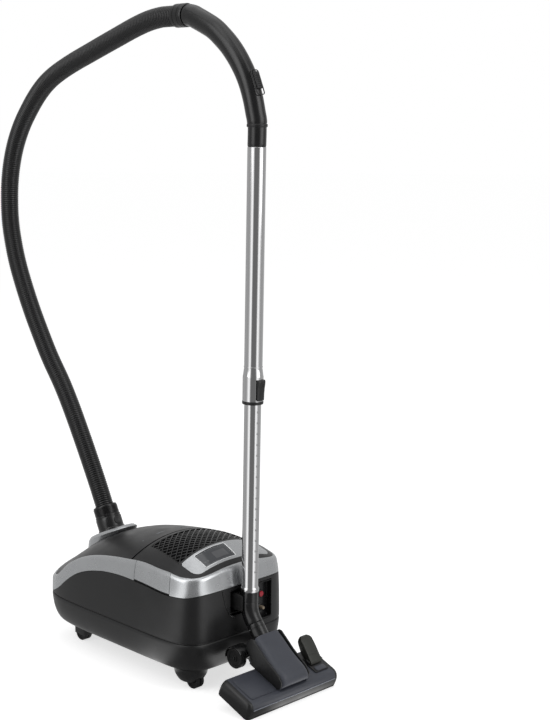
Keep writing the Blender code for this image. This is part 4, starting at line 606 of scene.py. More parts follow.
def makeShells():
    newPiece("lowerShellSmooth", lowerShellShape(), "black_plastic", "machine", ["lower_shell"], sharp=38)
    pad = prism(roundedOutline(0.100, 0.200, 0.020, (0, -0.060)), 0.0405, -0.0030, 0.0006)
    newPiece("bellyPad", pad, "black_plastic", "machine")
    wall = upperShellShape()
    for opening in ("recess", "outlet"):
        wall = combined(wall, rearCutter(rearWall[opening], 0.012))
    newPiece("upperShellSmooth", wall, "black_plastic", "machine", ["upper_shell"], sharp=38)


makeShells()
print("shells made")


# silver band in six lengths; the two pedals ride on their own bodies
def bandSection(k, lift):
    lip = casing["lip"]
    top, low = bandTop(k), bandLow(k) + 0.00015 + lift
    upper = top - lip
    out = [skin(k, low, 0.0008), skin(k, low + 0.0006, 0.0001)]
    out += [skin(k, low + 0.0008 + (upper - low - 0.0008) * s) for s in (0.05, 0.3, 0.6, 0.85, 0.97)]
    shoulder = [(lip * share, upper + rise) for share, rise in
                ((0.10, 0.0010), (0.26, 0.0026), (0.48, 0.0044), (0.72, 0.0054), (0.95, 0.0060))]
    shoulder += [(lip + 0.0003, top - 0.0006), (lip + 0.0003, top - 0.0033), (lip + 0.006, top - 0.0033),
                 (lip + 0.006, top - 0.0055)]
    for inset, z in shoulder:
        at = skin(k, upper, inset)
        out.append(Vector((at.x, at.y, z)))
    return out + [skin(k, upper - 0.006, 0.003), skin(k, low, 0.003)]


# direction on the left side whose point at the seam has this y
def directionAt(y):
    half = casing["steps"] // 2
    for k in range(4, half):
        a, b = skin(k, casing["seam"]).y, skin(k + 1, casing["seam"]).y
        if a <= y <= b:
            return k + (y - a) / (b - a)
    return half / 2


def bandPiece(name, start, end, body, stands, lift=0.0, trim=0.0005):
    def offset(k, sign):
        return sign * trim / (skin(k, casing["seam"]) - skin(k + 1, casing["seam"])).length

    first = start + offset(start, 1)
    last = end + offset(end - 1, -1)
    inner = [k for k in range(math.floor(first) + 1, math.ceil(last)) if first + 0.12 < k < last - 0.12]
    newPiece(name, ringSkin([bandSection(k, lift) for k in [first] + inner + [last]]), "silver_paint", body,
             [stands], sharp=40)


def makeBands():
    total = casing["steps"]
    cornerAt = directionAt(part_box("side_band_left")[0].y)
    midAt = directionAt(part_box("side_band_left")[1].y + 0.0005)
    rearAt = directionAt(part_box("rewind_pedal")[1].y + 0.0005)
    drop = 0.0034
    inner = list(range(math.floor(-cornerAt) + 1, math.ceil(cornerAt)))
    nose = ringSkin([bandSection(k, 0) for k in [-cornerAt + 0.05] + inner + [cornerAt - 0.05]])
    slot = roundedBox((-0.0243, frontY - 0.02, 0.1337), (0.0243, frontY + 0.02, 0.1463), 0)
    newPiece("frontBandSmooth", combined(nose, slot), "silver_paint", "machine", ["front_band"], sharp=40)
    bandPiece("sideBandLeftSmooth", cornerAt, midAt, "machine", "side_band_left")
    bandPiece("sideBandRightSmooth", total - midAt, total - cornerAt, "machine", "side_band_right")
    bandPiece("rewindPedalSmooth", midAt, rearAt, "rewind_pedal", "rewind_pedal", drop)
    bandPiece("powerPedalSmooth", total - rearAt, total - midAt, "power_pedal", "power_pedal", drop)
    bandPiece("rearBandSmooth", rearAt, total - rearAt, "machine", "rear_band")


makeBands()
print("band made")


# domed top: lid ahead of the seam, cover with its grille and console behind it
def domeShape(inset=0.0003):
    rim = [skin(k, bandTop(k) - casing["lip"], casing["lip"] + inset) for k in range(casing["steps"])]
    rings = []
    under = []
    for s in (1.0, 0.997, 0.985, 0.965, 0.93, 0.88, 0.81, 0.73, 0.64, 0.54, 0.43, 0.31, 0.18, 0.06):
        flat = [(p.x * s, middleY + (p.y - middleY) * s) for p in rim]
        drop = 0.0005 if s == 1.0 else (0.0001 if s == 0.997 else 0)
        rings.append([Vector((x, y, crown(x, y) - drop)) for x, y in flat])
        if s in (1.0, 0.93, 0.73, 0.43, 0.06):
            under.append([Vector((x, y, crown(x, y) - 0.003)) for x, y in flat])
    return ringSkin(rings[::-1] + under)


grillePlan = {"front": seamY + 0.010, "back": casing["rear"] - 0.0705, "halfFront": 0.092, "halfBack": 0.107}
consolePlan = {"front": casing["rear"] - 0.068, "back": casing["rear"] - 0.022, "halfFront": 0.106}


def planCorners(area, inset=0.0):
    front, back = area["halfFront"] - inset, area["halfBack"] - inset
    y0, y1 = area["front"] + inset, area["back"] - inset
    return [(-front, y0), (front, y0), (back, y1), (-back, y1)]


def consolePrism(inset=0.0, corner=0.017):
    y0, y1 = consolePlan["front"] + inset, consolePlan["back"] - inset
    half = consolePlan["halfFront"] - inset
    turns = [math.radians(a) for a in range(0, 91, 10)]
    points = [(-half + 0.004, y0), (half - 0.004, y0), (half, y0 + 0.004)]
    points += [(half - corner + corner * math.cos(t), y1 - corner + corner * math.sin(t)) for t in turns]
    points += [(-half + corner - corner * math.sin(t), y1 - corner + corner * math.cos(t)) for t in turns]
    points.append((-half, y0 + 0.004))
    return prism(points, 0.15, 0.25)


def makeTop():
    lid = keptSide(domeShape(), (0, seamY - 0.0011, 0), (0, 1, 0))
    lid = combined(lid, rod(0.0213, -0.05, 0.05, inletBase, inletAxis, 40))
    newPiece("lidSmooth", lid, "black_plastic", "lid", ["front_lid"], sharp=38)
    cover = keptSide(domeShape(), (0, seamY + 0.0032, 0), (0, -1, 0))
    for opening in (prism(planCorners(grillePlan), 0.15, 0.25), consolePrism()):
        cover = combined(cover, opening)
    newPiece("coverSmooth", cover, "black_plastic", "machine", ["rear_cover"], sharp=38)


makeTop()
print("domed top made")


# lattice grille on the dome: two families of crossing bars, fins along one of them, and a frame
grille = {"slant": 38.7, "pitch": 0.0105, "bar": 0.0026, "deep": 0.0024, "frame": 0.0026, "under": 0.0021,
          "fin": 0.0008, "finHigh": 0.0019}


# points round a plan, evenly spread along each side
def planPoints(area, inset, per=24):
    corners = planCorners(area, inset)
    return [(x0 + (x1 - x0) * n / per, y0 + (y1 - y0) * n / per)
            for (x0, y0), (x1, y1) in zip(corners, corners[1:] + corners[:1]) for n in range(per)]


def onDome(points, under):
    return [Vector((x, y, crown(x, y) - under)) for x, y in points]


# thin plate that follows the dome over a plan
def plateOnDome(area, inset, under, thick, across=48, along=10):
    rings = []
    for side in (0, 1):
        for n in range(along + 1):
            v = (n if side == 0 else along - n) / along
            half = area["halfFront"] + (area["halfBack"] - area["halfFront"]) * v - inset
            y = area["front"] + inset + (area["back"] - area["front"] - 2 * inset) * v
            rings.append([Vector((half * (2 * k / across - 1), y,
                                  crown(half * (2 * k / across - 1), y) - under - thick * side))
                          for k in range(across + 1)])
    shape = bmesh.new()
    rows = [[shape.verts.new(p) for p in ring] for ring in rings]
    bars = list(zip(rows, rows[1:])) + [(rows[-1], rows[0])]
    for one, two in bars:
        for k in range(across):
            shape.faces.new((one[k], one[k + 1], two[k + 1], two[k]))
    for end in (0, across):
        for n in range(along):
            shape.faces.new([rows[row][end] for row in (n, n + 1, 2 * along - n, 2 * along + 1 - n)])
    return shape


# closed section (across, out) carried along a path that lies near a plane
def sweptBead(points, section, normal, closed=True):
    rings = []
    count = len(points)
    for k in range(count):
        ahead = points[(k + 1) % count] if closed or k < count - 1 else points[k]
        behind = points[k - 1] if closed or k else points[k]
        tangent = (ahead - behind).normalized()
        out = Vector(normal)
        out = (out - tangent * out.dot(tangent)).normalized()
        side = tangent.cross(out)
        rings.append([points[k] + side * a + out * b for a, b in section])
    return ringSkin(rings + [rings[0]] if closed else rings, caps=not closed)


# part of a convex polygon behind every line (point, outward normal)
def clipped(polygon, lines):
    for (px, py), (nx, ny) in lines:
        kept = []
        for k in range(len(polygon)):
            (x0, y0), (x1, y1) = polygon[k - 1], polygon[k]
            d0 = (x0 - px) * nx + (y0 - py) * ny
            d1 = (x1 - px) * nx + (y1 - py) * ny
            if (d0 <= 0) != (d1 <= 0):
                s = d0 / (d0 - d1)
                kept.append((x0 + (x1 - x0) * s, y0 + (y1 - y0) * s))
            if d1 <= 0:
                kept.append((x1, y1))
        polygon = kept
        if len(polygon) < 3:
            return []
    return polygon


def flatArea(polygon):
    return abs(sum(x0 * y1 - x1 * y0 for (x0, y0), (x1, y1) in zip(polygon, polygon[1:] + polygon[:1]))) / 2


def latticeShape():
    lean = math.radians(grille["slant"])
    side = grille["pitch"] / math.sin(2 * lean)
    inner = 1 - grille["bar"] / grille["pitch"]
    one = (math.cos(lean) * side, math.sin(lean) * side)
    two = (-math.cos(lean) * side, math.sin(lean) * side)
    middle = (grillePlan["front"] + grillePlan["back"]) / 2
    corners = planCorners(grillePlan, grille["frame"] - 0.0006)
    lines = [(a, (b[1] - a[1], a[0] - b[0])) for a, b in zip(corners, corners[1:] + corners[:1])]
    holes = []
    for i in range(-26, 27):
        for j in range(-26, 27):
            cx = one[0] * i + two[0] * j
            cy = middle + one[1] * i + two[1] * j
            cell = [(cx + inner * (one[0] * p + two[0] * q) / 2, cy + inner * (one[1] * p + two[1] * q) / 2)
                    for p, q in ((1, 1), (-1, 1), (-1, -1), (1, -1))]
            hole = clipped(cell, lines)
            if hole and flatArea(hole) > 6e-6:
                holes.append(prism(hole, 0.2, 0.12))
    plate = plateOnDome(grillePlan, grille["frame"] * 0.6, grille["under"], grille["deep"], 40, 20)
    return combined(plate, joined(*holes))


# upright fins along one family of bars
def finsShape():
    lean = math.radians(grille["slant"])
    way = (math.cos(lean), math.sin(lean))
    off = (-math.sin(lean), math.cos(lean))
    middle = (grillePlan["front"] + grillePlan["back"]) / 2
    corners = planCorners(grillePlan, grille["frame"] - 0.0004)
    edges = list(zip(corners, corners[1:] + corners[:1]))
    h, high = grille["fin"], grille["finHigh"]
    section = [(-h, -0.0010), (h, -0.0010), (h, high - 0.0004), (h * 0.5, high), (-h * 0.5, high),
               (-h, high - 0.0004)]
    fins = []
    for j in range(-16, 16):
        shift = (j + 0.5) * grille["pitch"]
        start = (off[0] * shift, middle + off[1] * shift)
        near, far = -1.0, 1.0
        for (x0, y0), (x1, y1) in edges:
            nx, ny = y1 - y0, x0 - x1
            speed = way[0] * nx + way[1] * ny
            reach = ((x0 - start[0]) * nx + (y0 - start[1]) * ny) / speed
            if speed > 0:
                far = min(far, reach)
            else:
                near = max(near, reach)
        if far - near < 0.006:
            continue
        count = max(3, int((far - near) / 0.005))
        runs = [near + (far - near) * n / count for n in range(count + 1)]
        line = [(start[0] + way[0] * run, start[1] + way[1] * run) for run in runs]
        fins.append(sweptBead(onDome(line, grille["under"]), section, (0, 0, 1), False))
    return joined(*fins)


# rim on the dome round a plan, rounded on top
def frameShape(area, wide, high, deep):
    rows = [(0.0004, high + deep), (0.0004, high + 0.0005), (0.0008, high + 0.0001), (0.0014, high),
            (wide - 0.0008, high), (wide - 0.0003, high + 0.0003), (wide, high + 0.0008), (wide, high + deep)]
    rings = [onDome(planPoints(area, inset), under) for inset, under in rows]
    return ringSkin(rings + [rings[0]], caps=False)


def makeGrille():
    newPiece("grilleLattice", joined(latticeShape(), frameShape(grillePlan, grille["frame"], 0.0001, 0.0044)),
             "black_gloss", "machine", ["exhaust_grille"], sharp=35)
    newPiece("grilleFins", finsShape(), "black_gloss", "machine", sharp=35)
    newPiece("filterPad", plateOnDome(grillePlan, 0.012, 0.0065, 0.0070, 40, 20), "dark_fleece", "machine",
             ["exhaust_filter"], sharp=40)
    pinLow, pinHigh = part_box("lid_hinge_pin")
    r = (pinHigh.z - pinLow.z) / 2
    pinZ = min((pinHigh.z + pinLow.z) / 2, crown(pinHigh.x, pinHigh.y) - 0.0032 - r)
    profile = [(0, pinLow.x), (r - 0.0003, pinLow.x), (r, pinLow.x + 0.0003), (r, pinHigh.x - 0.0003),
               (r - 0.0003, pinHigh.x), (0, pinHigh.x)]
    newPiece("hingePin", turnedForm(profile, (0, (pinLow.y + pinHigh.y) / 2, pinZ), (1, 0, 0), 32), "steel",
             "machine", ["lid_hinge_pin"], sharp=34)


makeGrille()
print("grille made")

# console: a plate on the dome with a rounded window, its bright rim and a dark pane with a fine outline
console = {"middle": (0.0335, 0.1155), "wide": 0.0415, "deep": 0.0180, "corner": 0.0035, "rim": 0.0011,
           "thick": 0.0030}


def roundSection(half, high, steps=10):
    turns = [2 * math.pi * k / steps for k in range(steps)]
    return [(half * math.cos(t), high * math.sin(t)) for t in turns]


def windowPath(shrink=0.0, under=0.0, steps=8):
    flat = roundedOutline(2 * (console["wide"] - shrink), 2 * (console["deep"] - shrink),
                          max(console["corner"] - shrink, 0.0015), console["middle"], steps)
    out = []
    for a, b in zip(flat, flat[1:] + flat[:1]):
        far = math.hypot(b[0] - a[0], b[1] - a[1])
        parts = max(1, int(far / 0.004))
        out += [(a[0] + (b[0] - a[0]) * n / parts, a[1] + (b[1] - a[1]) * n / parts) for n in range(parts)]
    return [Vector((x, y, crown(x, y) - under)) for x, y in out]


# layer of the pane: a plate on the dome cut to an outline
def paneLayer(name, outline, under, thick, finish, stands=()):
    cy = console["middle"][1]
    wide = {"front": cy - 0.03, "back": cy + 0.03, "halfFront": 0.09, "halfBack": 0.09}
    shape = combined(plateOnDome(wide, 0, under, thick, 60, 16), prism(outline, 0.2, 0.2), "INTERSECT")
    newPiece(name, shape, finish, "machine", stands, sharp=40)


def makeConsole():
    cx, cy = console["middle"]
    hole = prism([(p.x, p.y) for p in windowPath()], 0.2, 0.2)
    whole = {"front": consolePlan["front"] - 0.01, "back": consolePlan["back"] + 0.01, "halfFront": 0.118,
             "halfBack": 0.118}
    plate = combined(plateOnDome(whole, 0, 0.0, console["thick"], 72, 16), consolePrism(0.0003), "INTERSECT")
    newPiece("consolePlate", combined(plate, hole), "silver_paint", "machine", ["control_console"], sharp=32,
             soften=0.0006)
    newPiece("consoleRim", sweptBead(windowPath(), roundSection(console["rim"], 0.0008), (0, 0, 1)),
             "bright_rim", "machine", sharp=60)
    pane = roundedOutline(2 * console["wide"] - 0.0012, 2 * console["deep"] - 0.0012, 0.003, (cx, cy))
    paneLayer("consolePane", pane, 0.0009, 0.0016, "glass_dark", ["display_window"])
    newPiece("paneOutline", sweptBead(windowPath(0.0030, 0.0009), roundSection(0.00025, 0.00012, 6), (0, 0, 1)),
             "pane_line", "machine", sharp=60)
    zone = roundedOutline(0.034, 0.017, 0.002, (cx - 0.012, cy + 0.002))
    paneLayer("paneZone", zone, 0.00078, 0.0008, "pane_zone")
    for name, aside in (("paneKeyA", 0.026), ("paneKeyB", 0.034)):
        pad = roundedOutline(0.0045, 0.0045, 0.0012, (cx + aside, cy + 0.007))
        paneLayer(name, pad, 0.00078, 0.0008, "pane_zone")


makeConsole()
print("console made")

# inlet: rounded mount on the lid's slope, the hose's connector and its two lock buttons
inlet = {"long": 0.124, "wide": 0.104, "radius": 0.0285, "length": 0.056, "button": 0.0082}


def collarShape():
    hole = inlet["radius"] - 0.002
    hx, hy = inlet["wide"] / 2, inlet["long"] / 2
    rows = [(hole, hole, 0, True), (hole * 0.5 + hx * 0.5, hole * 0.5 + hy * 0.5, 0, True),
            (hx * 0.99, hy * 0.99, 0, True), (hx * 1.0, hy * 1.0, -0.0075, False),
            (hx * 0.985, hy * 0.985, -0.0062, False),
            (hx * 0.90, hy * 0.91, -0.0022, False), (hx * 0.875, hy * 0.885, -0.0010, False),
            (hx * 0.85, hy * 0.86, -0.0006, False), (hx * 0.72, hy * 0.73, -0.0004, False),
            (hole + 0.0085, hole + 0.0085, -0.0003, False), (hole + 0.0080, hole + 0.0080, -0.0010, False),
            (hole + 0.0068, hole + 0.0068, -0.0010, False), (hole + 0.0063, hole + 0.0063, -0.0004, False),
            (hole, hole, -0.0004, False)]
    rings = []
    count = 96
    for sx, sy, height, foot in rows:
        ring = []
        for k in range(count):
            a = 2 * math.pi * k / count
            p = inletBase + Vector((sx * math.cos(a), 0, 0)) + acrossInlet * (sy * math.sin(a))
            p += inletAxis * height
            low = crown(p.x, p.y) + gap + 0.0006
            if foot or p.z < low:
                p.z = low
            ring.append(p)
        rings.append(ring)
    return ringSkin(rings + [rings[0]], caps=False)


def makeInlet():
    newPiece("collarSmooth", collarShape(), "silver_paint", "lid", ["inlet_collar"], sharp=30)
    r = inlet["radius"]
    profile = [(0.0205, -0.0300), (0.0205, -0.0003), (r + 0.0004, -0.0003), (r + 0.0011, 0.0003),
               (r + 0.0012, 0.0010),
               (r + 0.0012, 0.0034), (r + 0.0008, 0.0042), (r + 0.0001, 0.0047), (r - 0.0002, 0.0056),
               (r, 0.0062), (r, 0.0276), (r - 0.0004, 0.0286), (r - 0.0013, 0.0290), (r - 0.0013, 0.0302),
               (r - 0.0006, 0.0306), (r - 0.0006, 0.0330), (r - 0.0016, 0.0338)]
    for k in range(6):
        z = 0.0352 + 0.0029 * k
        profile += [(r - 0.0022, z), (r - 0.0012, z + 0.0008), (r - 0.0012, z + 0.0017), (r - 0.0022, z + 0.0024)]
    profile += [(r - 0.0022, inlet["length"] - 0.0018), (r - 0.0030, inlet["length"] - 0.0005),
                (r - 0.0042, inlet["length"]), (0.0160, inlet["length"]), (0.0160, -0.0300)]
    body = turnedForm(profile, inletBase, inletAxis, 72)
    seat = inletBase + inletAxis * 0.0165
    b = inlet["button"]
    well = [(0, r - 0.0063), (b + 0.0003, r - 0.0063), (b + 0.0003, r - 0.0006), (b + 0.0010, r + 0.0004),
            (b + 0.0010, r + 0.01), (0, r + 0.01)]
    key = [(0, 0), (b, 0), (b, 0.0036), (b - 0.0003, 0.0043), (b - 0.0010, 0.0048), (b - 0.0022, 0.0049),
           (b - 0.0036, 0.0045), (b - 0.0056, 0.0041), (0, 0.0039)]
    for sign in (1, -1):
        body = combined(body, turnedForm(well, seat, acrossInlet * sign, 40))
    newPiece("connectorSmooth", body, "black_gloss", "connector", ["hose_connector"], sharp=34)
    for name, sign, end in (("buttonRearCap", 1, "rear"), ("buttonFrontCap", -1, "front")):
        way = acrossInlet * sign
        newPiece(name, turnedForm(key, seat + way * (r - 0.0031), way, 40), "black_plastic", "button_" + end,
                 ["connector_button_" + end], sharp=34)


makeInlet()
print("inlet made")

# handle: a bent grip with its mould seam, the cuff's end, and the suction slider on its outer side
grip = {"path": [(-200, 1315.8), (-190, 1315.8), (-175, 1313), (-163, 1308), (-140, 1298), (-116, 1286), (-94, 1270),
                 (-73, 1252), (-53, 1230), (-35, 1205), (-22, 1181), (-12, 1155), (-5, 1130), (0, 1108), (0, 1066)],
        "radius": 0.0215, "end": 0.0190, "cuff": 0.023, "slider": 0.034, "travel": 0.008}


def easedLine(points, parts=10):
    last = len(points) - 1
    return [eased(points[max(k - 1, 0)], points[k], points[k + 1], points[min(k + 2, last)], n / parts)
            for k in range(last) for n in range(parts)] + [points[-1]]


def makeHandle():
    knots = [Vector((0, wandY + y / 1000, z / 1000)) for y, z in grip["path"]]
    line, length = evenly(easedLine(knots), 121)
    radii = []
    for k in range(len(line)):
        run = length * k / (len(line) - 1)
        if run < 0.0098:
            radii.append(grip["radius"] - 0.0035)
        elif run < 0.0125:
            radii.append(grip["radius"] - 0.0006)
        else:
            s = (run - 0.01) / (length - 0.052)
            radii.append(grip["radius"] + (grip["end"] - grip["radius"]) * min(1, s))
        if length - run < 0.0415:
            radii[-1] = 0.0178 if length - run > 0.0008 else 0.0172

    def seam(turn, s):
        return 0.984 if abs(math.sin(turn)) < 0.02 and 0.05 < s < 0.86 else 1.0

    tube = pathTube(line, radii, 96, seam)
    newPiece("handleSmooth", tube, "black_gloss", "machine", ["handle"], sharp=30)
    collar = turnedForm([(0.0164, 0), (0.0185, 0), (0.0195, 0.0008), (0.0198, 0.0022), (0.0198, 0.0052),
                         (0.0190, 0.0062), (0.0178, 0.0064), (0.0164, 0.0064)], (0, wandY, 1.1022), (0, 0, 1), 64)
    newPiece("handleBand", collar, "black_plastic", "machine", sharp=30)
    r = grip["cuff"]
    start = Vector((0, wandY - 0.2215, 1.3158))
    profile = [(0.0145, 0), (r - 0.0025, 0), (r - 0.0008, 0.0005), (r, 0.0018), (r, 0.0080), (r - 0.0007, 0.0086),
               (r - 0.0007, 0.0096), (r, 0.0102), (r, 0.0200), (r - 0.0007, 0.0206), (r - 0.0007, 0.0216),
               (r, 0.0222), (r, 0.0298), (r - 0.0006, 0.0309), (r - 0.0016, 0.0312), (0.0183, 0.0312),
               (0.0183, 0.0209), (0.0145, 0.0209)]
    newPiece("cuffSmooth", turnedForm(profile, start, (0, 1, 0), 72), "black_gloss", "cuff", ["hose_cuff"], sharp=30)


def makeSlider():
    way = Vector((0, 0.40, -0.917)).normalized()
    out = Vector((0, -way.z, way.y))
    mid = Vector((0, wandY - 0.020, 1.181)) + out * 0.0193
    turn = Matrix((Vector((1, 0, 0)), way, out)).transposed().to_4x4()
    half = grip["slider"] / 2
    button = roundedBox((-0.0073, -half, -0.0055), (0.0073, half, 0.0032), 0.0016, 4)
    ribs = [roundedBox((-0.0060, -0.0105 + 0.0042 * k, 0.0024), (0.0060, -0.0085 + 0.0042 * k, 0.0043), 0.0006, 2)
            for k in range(6)]
    shape = joined(button, *ribs)
    bmesh.ops.transform(shape, matrix=Matrix.Translation(mid) @ turn, verts=shape.verts)
    newPiece("sliderKey", shape, "black_plastic", "slider", ["air_slider"], sharp=34)
    rim = [Vector((x, y + grip["travel"] / 2, 0.0004)) for x, y in roundedOutline(0.0195, grip["slider"] + 0.0150,
                                                                                  0.005, (0, 0), 8)]
    frameBead = sweptBead(rim, roundSection(0.0010, 0.0012, 8), (0, 0, 1))
    bmesh.ops.transform(frameBead, matrix=Matrix.Translation(mid) @ turn, verts=frameBead.verts)
    newPiece("sliderFrame", frameBead, "black_plastic", "machine", sharp=60)


makeHandle()
makeSlider()
print("handle made")


# telescopic wand: tube, flared sleeve, catch with grip ribs, ring, notched lower tube with its end ring
wand = {"radius": 0.0178, "lower": 0.0165, "sleeve": 0.0203, "top": 1.0657, "sleeveTop": 0.641, "sleeveEnd": 0.5812,
        "lowerTop": 0.700, "end": 0.198, "notchTop": 0.561, "pitch": 0.0214, "notches": 16}


def makeWands():
    centre = (0, wandY, 0)
    r, s = wand["radius"], wand["sleeve"]
    top, low = wand["sleeveTop"], wand["sleeveEnd"]
    profile = [(r - 0.001, wand["top"]), (r - 0.0003, wand["top"]), (r, wand["top"] - 0.0004), (r, top + 0.0050),
               (r + 0.0001, top + 0.0036), (r + 0.0006, top + 0.0010), (s - 0.0006, top - 0.0095),
               (s - 0.0001, top - 0.0112), (s, top - 0.0130), (s, low + 0.0005), (s - 0.0004, low), (0.0167, low),
               (0.0167, wand["top"])]
    tube = turnedForm(profile, centre, (0, 0, 1), 128)
    slot = roundedBox((-0.0101, wandY + 0.004, low + 0.0017), (0.0101, wandY + 0.03, low + 0.0436), 0.0007, 2,
                      lambda way: abs(way.y) > 0.9)
    newPiece("upperTube", combined(tube, slot), "chrome_steel", "machine", ["upper_wand"], sharp=32)
    bead = turnedForm([(r - 0.0002, top + 0.0062), (r + 0.0006, top + 0.0064), (r + 0.0009, top + 0.0071),
                       (r + 0.0006, top + 0.0078), (r - 0.0002, top + 0.0080)], centre, (0, 0, 1), 96)
    newPiece("tubeBead", bead, "chrome_steel", "machine", sharp=60)
    z0 = low + 0.0023
    half = 0.0095
    stops = [(0.0, 0.0005), (0.0008, 0.0019), (0.0022, 0.0023), (0.0120, 0.0026), (0.0240, 0.0036), (0.0330, 0.0050),
             (0.0375, 0.0053), (0.0400, 0.0046), (0.0408, 0.0032), (0.0410, 0.0012)]
    rings = []
    for run, out in stops:
        ring = []
        for k in range(15):
            across = 2 * k / 14 - 1
            ring.append(Vector((half * across, wandY + s + out - 0.0016 * abs(across) ** 4, z0 + run)))
        ring += [Vector((half * (1 - 2 * k / 6), wandY + 0.0196, z0 + run)) for k in range(7)]
        rings.append(ring)
    catch = ringSkin(rings)
    ribs = [roundedBox((-0.0066, wandY + s + 0.0030, z0 + 0.0262 + 0.0026 * k),
                       (0.0066, wandY + s + 0.0052 + 0.0002 * k, z0 + 0.0276 + 0.0026 * k), 0.0005, 2)
            for k in range(4)]
    newPiece("catchSmooth", joined(catch, *ribs), "black_plastic", "wand_button", ["wand_button"], sharp=34)
    t = low - 0.0003
    ring = [(0.0167, t), (s + 0.0001, t), (s + 0.0005, t - 0.0004), (s + 0.0005, t - 0.0044),
            (s - 0.0002, t - 0.0054), (s - 0.0012, t - 0.0057), (0.0167, t - 0.0057)]
    newPiece("wandRingSmooth", turnedForm(ring, centre, (0, 0, 1), 96), "black_plastic", "machine", ["wand_ring"],
             sharp=34)
    q, e = wand["lower"], wand["end"]
    profile = [(q - 0.001, wand["lowerTop"]), (q, wand["lowerTop"]), (q, e + 0.0100), (q + 0.0003, e + 0.0092),
               (q + 0.0018, e + 0.0070), (q + 0.0022, e + 0.0058), (q + 0.00225, e + 0.0010), (q + 0.0018, e),
               (q - 0.001, e)]
    lower = turnedForm(profile, centre, (0, 0, 1), 128)
    marks = [roundedBox((-0.0058, wandY + q - 0.0007, wand["notchTop"] - wand["pitch"] * k - 0.0020),
                        (0.0058, wandY + q + 0.003, wand["notchTop"] - wand["pitch"] * k + 0.0020), 0.0012, 3,
                        lambda way: abs(way.y) > 0.9) for k in range(wand["notches"])]
    lower = combined(lower, joined(*marks))
    newPiece("lowerTube", lower, "chrome_steel", "lower_wand", ["lower_wand"], sharp=32)


makeWands()
print("wand made")

# elbow and its swivelling tail, with the fenders over the two wheels
elbow = {"radius": 0.0172, "bend": 38, "bendRadius": 0.050, "bendStart": 0.170, "stub": 0.008, "reach": 0.0408,
         "drum": 0.0168, "drumHalf": 0.0235, "axle": Vector((0, 0.1915, 0.073)), "wheel": 0.0205, "x0": 0.0372,
         "x1": 0.0535, "fenderFrom": 35, "fenderTo": 185}
bendTurn = math.radians(elbow["bend"])
tailWay = Vector((0, math.sin(bendTurn), -math.cos(bendTurn)))
bendEnd = Vector((0, wandY + elbow["bendRadius"] * (1 - math.cos(bendTurn)),
                  elbow["bendStart"] - elbow["bendRadius"] * math.sin(bendTurn)))
jointPlace = bendEnd + tailWay * elbow["stub"]
knuckle = jointPlace + tailWay * elbow["reach"]


# outline of a link between two round ends, in the plane x = 0
def linkOutline(a, ra, b, rb, steps=14):
    way = (b - a).normalized()
    side = Vector((0, -way.z, way.y))
    out = []
    for centre, radius, start in ((a, ra, 90), (b, rb, -90)):
        for k in range(steps):
            t = math.radians(start + 180 * k / (steps - 1))
            out.append(centre + radius * (math.cos(t) * way + math.sin(t) * side))
    return out


def makeElbow():
    r = elbow["radius"]
    top = wand["end"] - 0.0003
    drops = (0, 0.0008, 0.0018, 0.0200, 0.0206, 0.0216, 0.0222)
    line = [Vector((0, wandY, top - drop)) for drop in drops] + [Vector((0, wandY, elbow["bendStart"]))]
    radii = [r - 0.0010, r - 0.0003, r, r, r - 0.0005, r - 0.0005, r, r]
    for k in range(1, 25):
        a = bendTurn * k / 24
        line.append(Vector((0, wandY + elbow["bendRadius"] * (1 - math.cos(a)),
                            elbow["bendStart"] - elbow["bendRadius"] * math.sin(a))))
        radii.append(r)
    line += [jointPlace - tailWay * 0.0012, jointPlace - tailWay * 0.0003, jointPlace]
    radii += [r, r - 0.0004, r - 0.0010]

    def seam(turn, s):
        return 0.982 if abs(math.sin(turn)) < 0.02 and 0.12 < s < 0.97 else 1.0

    newPiece("elbowSmooth", pathTube(line, radii, 96, seam), "black_gloss", "lower_wand", ["elbow_cuff"],
             sharp=30)


